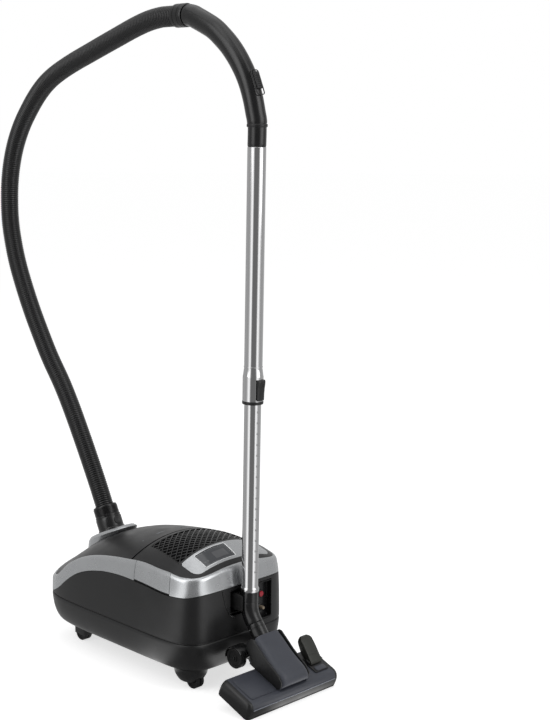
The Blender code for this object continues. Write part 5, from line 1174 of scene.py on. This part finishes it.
def makeTail():
    r = elbow["radius"]
    start = jointPlace + tailWay * 0.0003
    neck = [(0.0105, 0), (r - 0.0012, 0), (r - 0.0003, 0.0005), (r, 0.0016), (r, 0.0080), (r - 0.0006, 0.0086),
            (r - 0.0006, 0.0100), (r, 0.0106), (r, elbow["reach"] - 0.003), (0.0105, elbow["reach"] - 0.003)]
    tube = turnedForm(neck, start, tailWay, 72)
    h = elbow["drumHalf"]
    d = elbow["drum"]
    drum = turnedForm([(0, -h), (d - 0.0012, -h), (d, -h + 0.0012), (d, h - 0.0012), (d - 0.0012, h), (0, h)],
                      knuckle, (1, 0, 0), 72)
    shapes = [tube, drum]
    axle = elbow["axle"]
    w = elbow["wheel"]
    steps = 28
    span = elbow["fenderTo"] - elbow["fenderFrom"]
    turns = [math.radians(elbow["fenderFrom"] + span * k / steps) for k in range(steps + 1)]
    for sign in (1, -1):
        x0 = sign * (h - 0.001)
        plate = extruded([p + Vector((x0, 0, 0)) for p in linkOutline(knuckle, 0.012, axle, 0.009)],
                         Vector((sign * 0.005, 0, 0)), 0.0008, 2)
        shapes.append(plate)
        rings = []
        xa, xb, xw = sign * (h + 0.0018), sign * (elbow["x1"] + 0.001), sign * (h + 0.0016)
        lip = sign * 0.0009
        for t in turns:
            way = Vector((0, math.cos(t), math.sin(t)))
            rings.append([axle + way * q + Vector((x, 0, 0)) for x, q in (
                (xa, w + 0.0012), (xb - lip, w + 0.0012), (xb, w + 0.0014), (xb + lip * 0.2, w + 0.0022),
                (xb - lip * 0.2, w + 0.0030), (xb - lip * 1.4, w + 0.0034), (xa, w + 0.0034))])
        shapes.append(ringSkin(rings))
        web = [axle + Vector((xw, math.cos(t) * (w + 0.0030), math.sin(t) * (w + 0.0030))) for t in turns]
        web += [axle + Vector((xw, -0.006, -0.004)), axle + Vector((xw, 0.006, -0.004))]
        shapes.append(extruded(web, Vector((sign * 0.0028, 0, 0)), 0.0004, 1))
        reach = elbow["x1"] - h
        stub = [(0, 0), (0.0030, 0), (0.0030, reach), (0.0022, reach + 0.0008), (0, reach + 0.0008)]
        pin = [(0, 0), (0.0025, 0), (0.0025, 0.0100), (0.0018, 0.0105), (0, 0.0105)]
        shapes.append(turnedForm(stub, axle + Vector((sign * (h + 0.001), 0, 0)), (sign, 0, 0), 32))
        shapes.append(turnedForm(pin, knuckle + Vector((sign * h, 0, 0)), (sign, 0, 0), 32))
    newPiece("tailSmooth", joined(*shapes), "black_gloss", "tail", ["elbow_tail"], sharp=32)
    wide = elbow["x1"] - elbow["x0"]
    grooves = ((0, 0.20), (0.0008, 0.22), (0.0008, 0.25), (0, 0.27), (0, 0.34), (0.0024, 0.40), (0.0024, 0.42),
               (0, 0.48), (0, 0.70), (0.0008, 0.72), (0.0008, 0.75), (0, 0.77))
    tyre = [(0.0034, 0), (w - 0.0040, 0), (w - 0.0012, 0.0003), (w, 0.0015)]
    tyre += [(w - cut, wide * share) for cut, share in grooves]
    tyre += [(w, wide - 0.0015), (w - 0.0010, wide - 0.0003), (w - 0.0040, wide), (w - 0.0056, wide - 0.0002),
            (w - 0.0072, wide - 0.0026), (0.0070, wide - 0.0030), (0.0062, wide - 0.0012), (0.0050, wide - 0.0008),
            (0.0034, wide - 0.0008)]
    for name, body, sign in (("tailWheelLeft", "head_wheel_left", 1), ("tailWheelRight", "head_wheel_right", -1)):
        newPiece(name, turnedForm(tyre, axle + Vector((sign * elbow["x0"], 0, 0)), (sign, 0, 0), 72), "black_rubber",
                 body, [body], sharp=32)


makeElbow()
makeTail()
print("elbow and tail made")

# floor head, shaped in its own frame (across, back from the nose, up from the sole) and tipped nose down
head = {"tilt": 21, "nose": 0.3000, "half": 0.129, "deep": 0.086, "tall": 0.034, "neck": 0.078, "cap": 0.0115,
        "skirt": 0.0215, "pedal": (-0.110, -0.078)}


def inHead(shape):
    a = math.radians(head["tilt"])
    turn = Matrix(((1, 0, 0, 0), (0, -math.cos(a), math.sin(a), head["nose"]), (0, math.sin(a), math.cos(a), 0),
                   (0, 0, 0, 1)))
    bmesh.ops.transform(shape, matrix=turn, verts=shape.verts)
    return shape


def headRing(half, v0, v1, w, corner=0.009):
    return [Vector((x, y, w)) for x, y in roundedOutline(2 * half, v1 - v0, corner, (0, (v0 + v1) / 2), 8)]


def headShell():
    half, deep, tall = head["half"], head["deep"], head["tall"]
    rings = [headRing(half - 0.003, 0.003, deep - 0.003, 0.0052),
             headRing(half - 0.0006, 0.0004, deep - 0.0005, 0.0052), headRing(half, 0.0, deep, 0.0060), headRing(half, 0.0, deep, tall * 0.42)]
    for k in range(1, 9):
        t = math.pi / 2 * k / 8
        out = 1 - math.cos(t)
        rings.append(headRing(half - 0.0072 * out, 0.0102 * out, deep - 0.0042 * out,
                              tall * (0.42 + 0.58 * math.sin(t))))
    return ringSkin(rings)


def makeHeadShell():
    half, deep, tall, cap, skirt = head["half"], head["deep"], head["tall"], head["cap"], head["skirt"]

    def betweenCaps(shape):
        for sign in (1, -1):
            shape = keptSide(shape, (sign * (half - cap - gap), 0, 0), (sign, 0, 0))
        return shape

    top = betweenCaps(keptSide(headShell(), (0, 0, skirt + 0.0004), (0, 0, -1)))
    n = head["neck"] / 2 - 0.004
    top = combined(top, roundedBox((-n, 0.030, tall - 0.006), (n, deep + 0.02, tall + 0.01), 0.002, 3))
    newPiece("headTop", inHead(top), "blue_grey_plastic", "floor_head", ["head_cover"], sharp=34, soften=0.0004)
    low = betweenCaps(keptSide(headShell(), (0, 0, skirt), (0, 0, 1)))
    newPiece("headSkirt", inHead(low), "black_plastic", "floor_head", sharp=34, soften=0.0004)
    for name, sign in (("headCapLeft", 1), ("headCapRight", -1)):
        end = keptSide(headShell(), (sign * (half - cap), 0, 0), (-sign, 0, 0))
        newPiece(name, inHead(end), "black_plastic", "floor_head", sharp=34, soften=0.0005)
    reach = half - cap - 0.001
    bead = roundedBox((-reach, -0.0006, skirt - 0.0002), (reach, 0.0010, skirt + 0.0012), 0.0004, 2)
    newPiece("headRimLine", inHead(bead), "rim_line", "floor_head", sharp=60)


# arched hood, its section boxed by a small power
def hoodShape(steps=36, arcs=40, wall=0.0025, boxed=0.36):
    half = head["neck"] / 2
    base = head["tall"] + gap
    stations = [(0.0100, 0.042), (0.0065, 0.049), (0.011, 0.058), (0.024, 0.0655), (0.044, 0.0695), (0.066, 0.0750),
                (0.088, 0.0830), (0.110, 0.0898)]
    tables = ([(n / 7, v) for n, (v, w) in enumerate(stations)], [(n / 7, w) for n, (v, w) in enumerate(stations)])
    rings = []
    for n in range(steps + 1):
        s = n / steps
        v, top = readOff(tables[0], s), readOff(tables[1], s)
        foot = 0.0125 + (0.098 - 0.0125) * s
        arc, back = [], []
        for k in range(arcs + 1):
            t = math.pi * k / arcs
            c = math.copysign(abs(math.cos(t)) ** boxed, math.cos(t))
            g = abs(math.sin(t)) ** boxed
            arc.append(Vector((half * c, foot + (v - foot) * g, base + (top - base) * g)))
            inner = foot + 0.002 * (1 - s)
            back.append(Vector(((half - wall) * c, inner + (v + wall * (1 - s) - inner) * g,
                                base + (top - wall - base) * g)))
        rings.append(arc + back[::-1])
    return ringSkin(rings)


def makeHood():
    a = math.radians(head["tilt"])
    d = knuckle - Vector((0, head["nose"], 0))
    centre = (-d.y * math.cos(a) + d.z * math.sin(a), d.y * math.sin(a) + d.z * math.cos(a))
    newPiece("hoodTop", inHead(hoodShape()), "blue_grey_plastic", "floor_head", ["neck_cover"], sharp=26)
    half = head["neck"] / 2
    ear = [(0.0870, 0.0480), (0.0870, 0.0700)]
    for k in range(25):
        t = math.radians(105 - 210 * k / 24)
        ear.append((centre[0] + 0.0085 * math.cos(t), centre[1] + 0.0085 * math.sin(t)))
    cheek = [(0.0165, 0.0352), (0.0128, 0.0400), (0.0105, 0.0450), (0.0135, 0.0540), (0.0260, 0.0622),
             (0.0440, 0.0668), (0.0660, 0.0724), (0.0880, 0.0804), (0.1060, 0.0868), (0.1130, 0.0850),
             (0.1190, 0.0760), (0.1200, 0.0660), (0.1150, 0.0590), (0.1060, 0.0520), (0.0980, 0.0440),
             (0.0930, 0.0352)]
    for name, sign in (("cheekLeft", 1), ("cheekRight", -1)):
        plate = extruded([Vector((sign * (half - 0.0021), v, w)) for v, w in ear], Vector((sign * 0.0028, 0, 0)),
                         0.0005, 2)
        side = extruded([Vector((sign * (half - 0.0012), v, w)) for v, w in cheek],
                        Vector((sign * 0.0032, 0, 0)), 0.0010, 3)
        newPiece(name, inHead(joined(plate, side)), "black_plastic", "floor_head", sharp=34)


def makeHeadFittings():
    tall, deep = head["tall"], head["deep"]
    u0, u1, v0, v1 = 0.040, 0.111, 0.0165, deep - 0.012
    plates = []
    for inset, low, high in ((0.0, 0.0002, 0.0014), (0.0022, 0.0014, 0.0019)):
        flat = roundedOutline(u1 - u0 - 2 * inset, v1 - v0 - 2 * inset, 0.006 - inset,
                              ((u0 + u1) / 2, (v0 + v1) / 2), 8)
        plates.append(prism(flat, tall + low, high - low, 0.0003, 2))
    newPiece("headPanel", inHead(joined(*plates)), "blue_grey_plastic", "floor_head", ["head_panel"], sharp=34)
    p0, p1 = head["pedal"]
    pinV, pinW = 0.047, tall + 0.0055
    middle = (p0 + p1) / 2
    flat = roundedOutline(p1 - p0 + 0.008, 0.055, 0.004, (middle, 0.0475), 6)
    base = [prism(flat, tall + 0.0003, 0.0019, 0.0005, 2)]
    for x0, x1 in ((p0 - 0.004, p0 - 0.0008), (p1 + 0.0008, p1 + 0.004)):
        base.append(roundedBox((x0, pinV - 0.005, tall + 0.001), (x1, pinV + 0.005, pinW + 0.004), 0.0010, 3))
    newPiece("pedalBase", inHead(joined(*base)), "black_plastic", "floor_head", ["pedal_base"], sharp=34)
    tab = prism(roundedOutline(p1 - p0 - 0.004, 0.012, 0.003, (middle, 0.0275), 6), tall + 0.0021, 0.0014,
                0.0004, 2)
    newPiece("pedalTab", inHead(tab), "blue_grey_plastic", "floor_head", sharp=34)
    side = [(0.0400, tall + 0.0026), (0.0560, tall + 0.0034), (0.0680, tall + 0.0080), (0.0800, tall + 0.0180),
            (0.0880, tall + 0.0270), (0.0912, tall + 0.0330), (0.0888, tall + 0.0362), (0.0820, tall + 0.0352),
            (0.0700, tall + 0.0290), (0.0570, tall + 0.0205), (0.0465, tall + 0.0130), (0.0400, tall + 0.0085)]
    loop = [Vector((0, v, w)) for v, w in side]
    smooth = [eased(loop[k - 1], loop[k], loop[(k + 1) % len(loop)], loop[(k + 2) % len(loop)], n / 5)
              for k in range(len(loop)) for n in range(5)]
    body = extruded([p + Vector((p0, 0, 0)) for p in smooth], Vector((p1 - p0, 0, 0)), 0.0012, 3)
    rise = Vector((0, 0.0415, 0.0290)).normalized()
    out = Vector((0, -rise.z, rise.y))
    foot = Vector((middle, 0.0440, tall + 0.0040)) - out * 0.04
    half = (p1 - p0) / 2 + 0.0002
    tongue = [(-half, -0.03), (half, -0.03)]
    for a in range(0, 181, 10):
        t = math.radians(a)
        tongue.append((half * math.cos(t), 0.0420 + 0.0155 * math.sin(t)))
    body = combined(body, extruded([foot + Vector((x, 0, 0)) + rise * d for x, d in tongue], out * 0.08),
                    "INTERSECT")
    ribs = []
    for k in range(6):
        s = (k + 0.8) / 7
        v = 0.0500 + (0.0800 - 0.0500) * s
        w = tall + 0.0155 + (0.0335 - 0.0155) * s
        ribs.append(roundedBox((p0 + 0.004, v - 0.0012, w - 0.0022), (p1 - 0.004, v + 0.0012, w + 0.0008),
                               0.0008, 2))
    pins = [rod(0.0015, 0, 0.0037, (x, pinV, pinW), (1, 0, 0), 24) for x in (p0 - 0.0037, p1)]
    newPiece("pedalLobe", inHead(joined(body, *ribs, *pins)), "olive_plastic", "foot_pedal", ["foot_pedal"], sharp=36)
    tufts = [roundedBox((-head["half"] + 0.0163, 0.0088, 0.0052), (head["half"] - 0.0163, 0.0172, 0.0080), 0.0006, 2)]
    for k in range(54):
        u = -head["half"] + 0.020 + (2 * head["half"] - 0.040) * k / 53
        cone = bmesh.new()
        bmesh.ops.create_cone(cone, cap_ends=True, segments=10, radius1=0.0021, radius2=0.0013, depth=0.0036)
        bmesh.ops.translate(cone, vec=(u, 0.0130, 0.0038), verts=cone.verts)
        tufts.append(cone)
    newPiece("brushTufts", inHead(joined(*tufts)), "bristle", "brush", ["brush_strip"], sharp=40)


makeHeadShell()
makeHood()
makeHeadFittings()
print("floor head made")


# castors: round pods under the rear corners, small forks in front, each with a grooved twin wheel
castor = {"radius": 0.0165, "trail": 0.012, "top": 0.0392, "wheel": 0.019, "pod": 0.034, "x": 0.088,
          "front": frontY + 0.068, "rear": casing["rear"] - 0.054}


def castorPiece(name, x, y, pod):
    wheelY = y + castor["trail"]
    half = castor["wheel"] / 2 + 0.0012
    reach = castor["radius"] + 0.0012
    low = castor["radius"] - 0.002
    top = castor["top"]

    def loop(grow, z):
        flat = roundedOutline(2 * (half + grow), 2 * (reach + grow), 0.005 + grow, (x, wheelY), 6)
        return [Vector((px, py, z)) for px, py in flat]

    if pod:
        r = castor["pod"]
        outside = [(0, low), (0.0190, low), (0.0215, low + 0.0006), (0.0238, low + 0.0022), (0.0262, low + 0.0050),
                   (0.0288, low + 0.0088), (0.0314, low + 0.0134), (r - 0.0006, low + 0.0186),
                   (r + 0.0004, top - 0.0012), (r + 0.0004, top + 0.0052), (r - 0.0010, top + 0.0064),
                   (0, top + 0.0064)]
        fork = turnedForm(outside, (x, y, 0), (0, 0, 1), 96)
        fork = combined(fork, ringSkin([loop(0.0006, low - 0.005), loop(0.0006, low + 0.0004), loop(0, low + 0.0010),
                                        loop(0, top - 0.0026), loop(-0.0010, top - 0.0020)]))
    else:
        fork = ringSkin([loop(0, top - 0.002), loop(0, low + 0.0008), loop(0.0004, low), loop(0.0016, low),
                         loop(0.0020, low + 0.0006), loop(0.002, top - 0.0060), loop(0.0016, top - 0.0030),
                         loop(0.0006, top - 0.0010), loop(-0.0008, top - 0.0002), loop(-0.0030, top)])
    seat = turnedForm([(0, top - 0.0012), (0.0090, top - 0.0012), (0.0090, 0.0394), (0.0082, 0.0397), (0, 0.0397)],
                      (x, y, 0), (0, 0, 1), 40)
    stem = turnedForm([(0, 0.0394), (0.0040, 0.0394), (0.0040, 0.0540), (0.0032, 0.0548), (0, 0.0548)],
                      (x, y, 0), (0, 0, 1), 24)
    tag = name.replace("castor_", "")
    plain = "".join(word.capitalize() for word in tag.split("_"))
    newPiece("castorFork" + plain, joined(fork, seat, stem), "black_plastic", name, [name + "_fork"], sharp=32)
    w, r = castor["wheel"] / 2, castor["radius"]
    out = half + 0.0017
    profile = [(0, -out), (0.0018, -out), (0.0022, -out + 0.0004), (0.0022, -w + 0.0006), (0.0052, -w + 0.0006),
               (0.0060, -w + 0.0016), (r - 0.0056, -w + 0.0016), (r - 0.0048, -w + 0.0004), (r - 0.0040, -w),
               (r - 0.0015, -w), (r - 0.0005, -w + 0.0004), (r, -w + 0.0014), (r, -0.0018), (r - 0.0004, -0.0013),
               (r - 0.0040, -0.0008)]
    profile += [(q, -z) for q, z in profile[::-1]]
    newPiece("castorWheel" + plain, turnedForm(profile, (x, wheelY, castor["radius"]), (1, 0, 0), 72),
             "black_rubber", "wheel_" + tag, [name + "_wheel"], sharp=32)


for sideWord, sign in (("left", 1), ("right", -1)):
    castorPiece("castor_front_" + sideWord, sign * castor["x"], castor["front"], False)
    castorPiece("castor_rear_" + sideWord, sign * castor["x"], castor["rear"], True)
print("castors made")

# rear wall fittings: recess with its lip and cradle, the lead's pan with its stub and lamp, the lid's catch
rear = {"recess": (0.150, 0.1985), "half": 0.034, "outlet": (-0.088, -0.044, 0.117, 0.197)}


def panShape(x0, x1, z0, z1, y0, y1, wall, corner):
    def face(grow, y):
        flat = roundedOutline(x1 - x0 + 2 * grow, z1 - z0 + 2 * grow, max(corner + grow, 0.0006),
                              ((x0 + x1) / 2, (z0 + z1) / 2), 6)
        return [Vector((px, y, pz)) for px, pz in flat]

    return ringSkin([face(-0.0006, y0), face(0, y0 + 0.0006), face(0, y1), face(-wall + 0.0006, y1),
                     face(-wall, y1 - 0.0005), face(-wall, y0 + wall + 0.0010), face(-wall - 0.0010, y0 + wall)])


def makeRear():
    lo, hi = rear["recess"]
    x = rear["half"] - gap
    back = casing["rear"]
    pan = panShape(-x, x, lo + gap, hi - gap, back - 0.020, back - 0.0015, 0.002, 0.003)
    newPiece("recessPan", pan, "black_plastic", "machine", ["parking_recess"], sharp=32)
    lip = [(0.0545, 0.2010), (0.0530, 0.1945), (0.0505, 0.1860), (0.0482, 0.1770), (0.0455, 0.1690),
           (0.0420, 0.1612), (0.0380, 0.1545), (0.0330, 0.1490), (0.0275, 0.1452), (0.0210, 0.1438)]
    points = easedLine([Vector((px, back - readOff(casing["back"], pz) - 0.0004, pz)) for px, pz in lip], 4)
    newPiece("recessLip", sweptBead(points, roundSection(0.0017, 0.0019, 12), (0, 1, 0), False), "black_gloss",
             "machine", sharp=60)
    mid = (lo + hi) / 2
    rest = roundedBox((-0.0215, back - 0.0177, mid - 0.016), (0.0215, wandY, mid + 0.016), 0.0022, 4)
    rest = combined(rest, rod(0.0193, -0.05, 0.05, (0, wandY, mid), (0, 0, 1), 72))
    newPiece("cradleRest", rest, "black_rubber", "machine", ["wand_cradle"], sharp=32)
    x0, x1, z0, z1 = rear["outlet"]
    pan = panShape(x0 + gap, x1 - gap, z0 + gap, z1 - gap, back - 0.016, back - 0.0015, 0.002, 0.004)
    middle = (x0 + x1) / 2
    pan = combined(pan, rod(0.0045, -0.01, 0.01, (middle, back - 0.016, z0 + 0.022), (0, 1, 0), 40))
    newPiece("outletPan", pan, "black_gloss", "machine", ["lead_outlet"], sharp=32)
    mouthZ, lampZ, lampY = z0 + 0.022, z1 - 0.030, back - 0.0137
    mouth = [(0.0046, 0.0), (0.0074, 0.0), (0.0078, 0.0004), (0.0078, 0.0012), (0.0068, 0.0020), (0.0052, 0.0022),
             (0.0046, 0.0016)]
    stub = [(0, -0.004), (0.0034, -0.004), (0.0034, 0.0096), (0.0028, 0.0104), (0, 0.0104)]
    lens = [(0, 0), (0.0062, 0), (0.0062, 0.0030), (0.0055, 0.0041), (0.0037, 0.0046), (0, 0.0048)]
    bezel = [(0.0064, 0), (0.0080, 0), (0.0080, 0.0016), (0.0073, 0.0024), (0.0064, 0.0024)]
    for name, profile, y, z, steps, finish, stands, sharp, slot in (
            ("leadMouth", mouth, back - 0.0139, mouthZ, 40, "black_plastic", (), 40, None),
            # the stub's beige is a painted highlight, the glint of a metal plug pin
            ("leadStub", stub, back - 0.0135, mouthZ, 32, "painted_glint_beige", (), 40, "grey_plastic"),
            ("lampLens", lens, lampY, lampZ, 40, "red_plastic", ["outlet_lamp"], 34, None),
            ("lampBezel", bezel, lampY, lampZ, 40, "black_plastic", (), 34, None)):
        newPiece(name, turnedForm(profile, (middle, y, z), (0, 1, 0), steps), finish, "machine", stands,
                 sharp=sharp)
    latch = roundedBox((-0.0237, frontY - 0.0015, 0.1343), (0.0237, frontY + 0.0060, 0.1457), 0.0015, 4)
    scoop = bmesh.new()
    bmesh.ops.create_uvsphere(scoop, u_segments=40, v_segments=24, radius=1)
    bmesh.ops.scale(scoop, vec=(0.0150, 0.0022, 0.0036), verts=scoop.verts)
    bmesh.ops.translate(scoop, vec=(0, frontY - 0.0017, 0.1400), verts=scoop.verts)
    newPiece("latchKey", combined(latch, scoop), "black_plastic", "latch", ["lid_latch"], sharp=34)


makeRear()
print("rear fittings made")

# dust bag: a filled fleece pouch with soft folds up its sides and a pressed edge seam
pouch = {"front": frontY + 0.0285, "back": seamY - 0.040, "low": 0.0586, "high": 0.0910, "wide": 0.1165,
         "folds": 21, "around": 144, "rise": 44, "power": 4.2}


def makePouch():
    mid = (pouch["front"] + pouch["back"]) / 2
    deep = (pouch["back"] - pouch["front"]) / 2
    full = [(0.0, 0.60), (0.02, 0.76), (0.07, 0.88), (0.15, 0.955), (0.35, 0.995), (0.52, 1.0), (0.70, 0.975),
            (0.84, 0.90), (0.93, 0.78), (0.98, 0.66), (1.0, 0.58)]
    stages = [(0.06, 0.0), (0.25, 0.0), (0.45, 0.0)]
    stages += [(readOff(full, n / pouch["rise"]), n / pouch["rise"]) for n in range(pouch["rise"] + 1)]
    stages += [(0.45, 1.006), (0.25, 1.010), (0.06, 1.012)]
    rings = []
    for swell, s in stages:
        ring = []
        for k in range(pouch["around"]):
            a = 2 * math.pi * k / pouch["around"]
            c, g = math.cos(a), math.sin(a)
            r = (abs(c) ** pouch["power"] + abs(g) ** pouch["power"]) ** (-1 / pouch["power"])
            wave = 1 + math.sin(pouch["folds"] * a + 2.3 * math.sin(3 * a) + 4 * s)
            fold = 1 - 0.010 * wave * (0.35 + abs(2 * s - 1))
            seam = 1 - 0.012 * math.exp(-((s - 0.5) / 0.018) ** 2)
            reach = r * swell * fold * seam
            ring.append(Vector((pouch["wide"] * c * reach, mid + deep * g * reach, pouch["low"] + pouch["high"] * s)))
        rings.append(ring)
    bag = newPiece("pouchFleece", ringSkin(rings), "fleece", "machine", sharp=60)
    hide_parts("dust_bag")


makePouch()
print("dust bag made")


# studio: pale floor, soft boxes at both sides of the camera and above, a room whose reflection
# is dark straight behind the camera and bright beside it
studio = {"floorTone": 0.80, "floorSize": 40, "aim": (0, 0, 0.45),
          "boxes": [(62, 30, 2.6, 1.3, 2.2, 17.0), (-58, 34, 2.6, 1.3, 2.2, 15.0)],
          "top": (0.0, -0.1, 3.0, 2.4, 14.0), "room": 0.42, "glow": 0.66,
          "ring": [(0.001, 0.34), (0.60, 0.28), (0.72, 0.46), (0.78, 0.85), (0.895, 0.90), (0.932, 0.24),
                   (0.955, 0.13), (0.999, 0.13)]}


# brightness by heading, as the settings' ring gives it
def roomRing(tree, source):
    flat = addNode(tree, "VectorMath", {1: (1, 1, 0)}, "MULTIPLY")
    unit = addNode(tree, "VectorMath", (), "NORMALIZE")
    heading = Vector((towardCamera.x, towardCamera.y, 0)).normalized()
    facing = addNode(tree, "VectorMath", {1: heading}, "DOT_PRODUCT")
    half = addNode(tree, "Math", {1: 0.5, 2: 0.5}, "MULTIPLY_ADD")
    ring = addNode(tree, "ValToRGB")
    stops = ring.color_ramp.elements
    for spot, tone in studio["ring"]:
        stop = stops.new(spot)
        stop.color = (tone, tone, tone, 1)
    stops.remove(stops[0])
    stops.remove(stops[-1])
    gain = addNode(tree, "Math", {1: 2.0}, "MULTIPLY")
    link = tree.links.new
    link(source, flat.inputs[0])
    link(flat.outputs["Vector"], unit.inputs[0])
    link(unit.outputs["Vector"], facing.inputs[0])
    link(facing.outputs["Value"], half.inputs[0])
    link(half.outputs[0], ring.inputs["Fac"])
    link(ring.outputs["Color"], gain.inputs[0])
    return gain.outputs[0]


def makeFloor():
    shape = bmesh.new()
    bmesh.ops.create_grid(shape, x_segments=2, y_segments=2, size=studio["floorSize"])
    mesh = bpy.data.meshes.new("studioFloor")
    shape.to_mesh(mesh)
    shape.free()
    floor = bpy.data.objects.new("studioFloor", mesh)
    bpy.context.collection.objects.link(floor)
    paint = bpy.data.materials.new("floorPaint")
    paint.use_nodes = True
    tree = paint.node_tree
    link = tree.links.new
    shader = tree.nodes["Principled BSDF"]
    for socket, value in (("Base Color", (studio["floorTone"],) * 3 + (1,)), ("Roughness", 0.85),
                          ("Specular IOR Level", 0.0), ("Emission Color", (1, 1, 1, 1))):
        shader.inputs[socket].default_value = value
    rays = addNode(tree, "LightPath")
    glow = addNode(tree, "Math", {1: studio["glow"]}, "MULTIPLY")
    link(rays.outputs["Is Camera Ray"], glow.inputs[0])
    link(glow.outputs[0], shader.inputs["Emission Strength"])
    place = addNode(tree, "TexCoord")
    mirrored = addNode(tree, "Emission")
    link(roomRing(tree, place.outputs["Object"]), mirrored.inputs["Strength"])
    either = addNode(tree, "MixShader")
    link(rays.outputs["Is Glossy Ray"], either.inputs["Fac"])
    link(shader.outputs["BSDF"], either.inputs[1])
    link(mirrored.outputs["Emission"], either.inputs[2])
    link(either.outputs["Shader"], tree.nodes["Material Output"].inputs["Surface"])
    mesh.materials.append(paint)


def areaLight(name, place, size, power):
    lamp = bpy.data.lights.new(name, "AREA")
    lamp.size = size
    lamp.energy = power
    box = bpy.data.objects.new(name, lamp)
    box.location = place
    bpy.context.collection.objects.link(box)
    return box


def makeLights():
    aim = Vector(studio["aim"])
    heading = math.atan2(towardCamera.y, towardCamera.x)
    for turn, rise, away, wide, tall, power in studio["boxes"]:
        a = heading + math.radians(turn)
        e = math.radians(rise)
        place = aim + away * Vector((math.cos(a) * math.cos(e), math.sin(a) * math.cos(e), math.sin(e)))
        box = areaLight("softBox", place, wide, power)
        box.data.shape = "RECTANGLE"
        box.data.size_y = tall
        box.rotation_euler = (place - aim).to_track_quat("Z", "Y").to_euler()
    x, y, z, size, power = studio["top"]
    areaLight("topBox", (x, y, z), size, power)


def makeRoom():
    world = bpy.data.worlds.new("studioRoom")
    bpy.context.scene.world = world
    world.use_nodes = True
    tree = world.node_tree
    link = tree.links.new
    back = tree.nodes["Background"]
    back.inputs["Color"].default_value = (1, 1, 1, 1)
    rays = addNode(tree, "LightPath")
    place = addNode(tree, "TexCoord")
    isShown = addNode(tree, "Math", (), "MAXIMUM")
    plain = addNode(tree, "Mix", {2: studio["room"]})
    sees = addNode(tree, "Mix", {3: 1.0})
    link(rays.outputs["Is Glossy Ray"], plain.inputs["Factor"])
    link(roomRing(tree, place.outputs["Generated"]), plain.inputs[3])
    link(rays.outputs["Is Camera Ray"], isShown.inputs[0])
    link(rays.outputs["Is Transmission Ray"], isShown.inputs[1])
    link(isShown.outputs[0], sees.inputs["Factor"])
    link(plain.outputs[0], sees.inputs[2])
    link(sees.outputs[0], back.inputs["Strength"])


makeFloor()
makeLights()
makeRoom()
print("studio made")

for spare in [o for o in bpy.data.objects if o.name.startswith("work")]:
    bpy.data.objects.remove(spare)
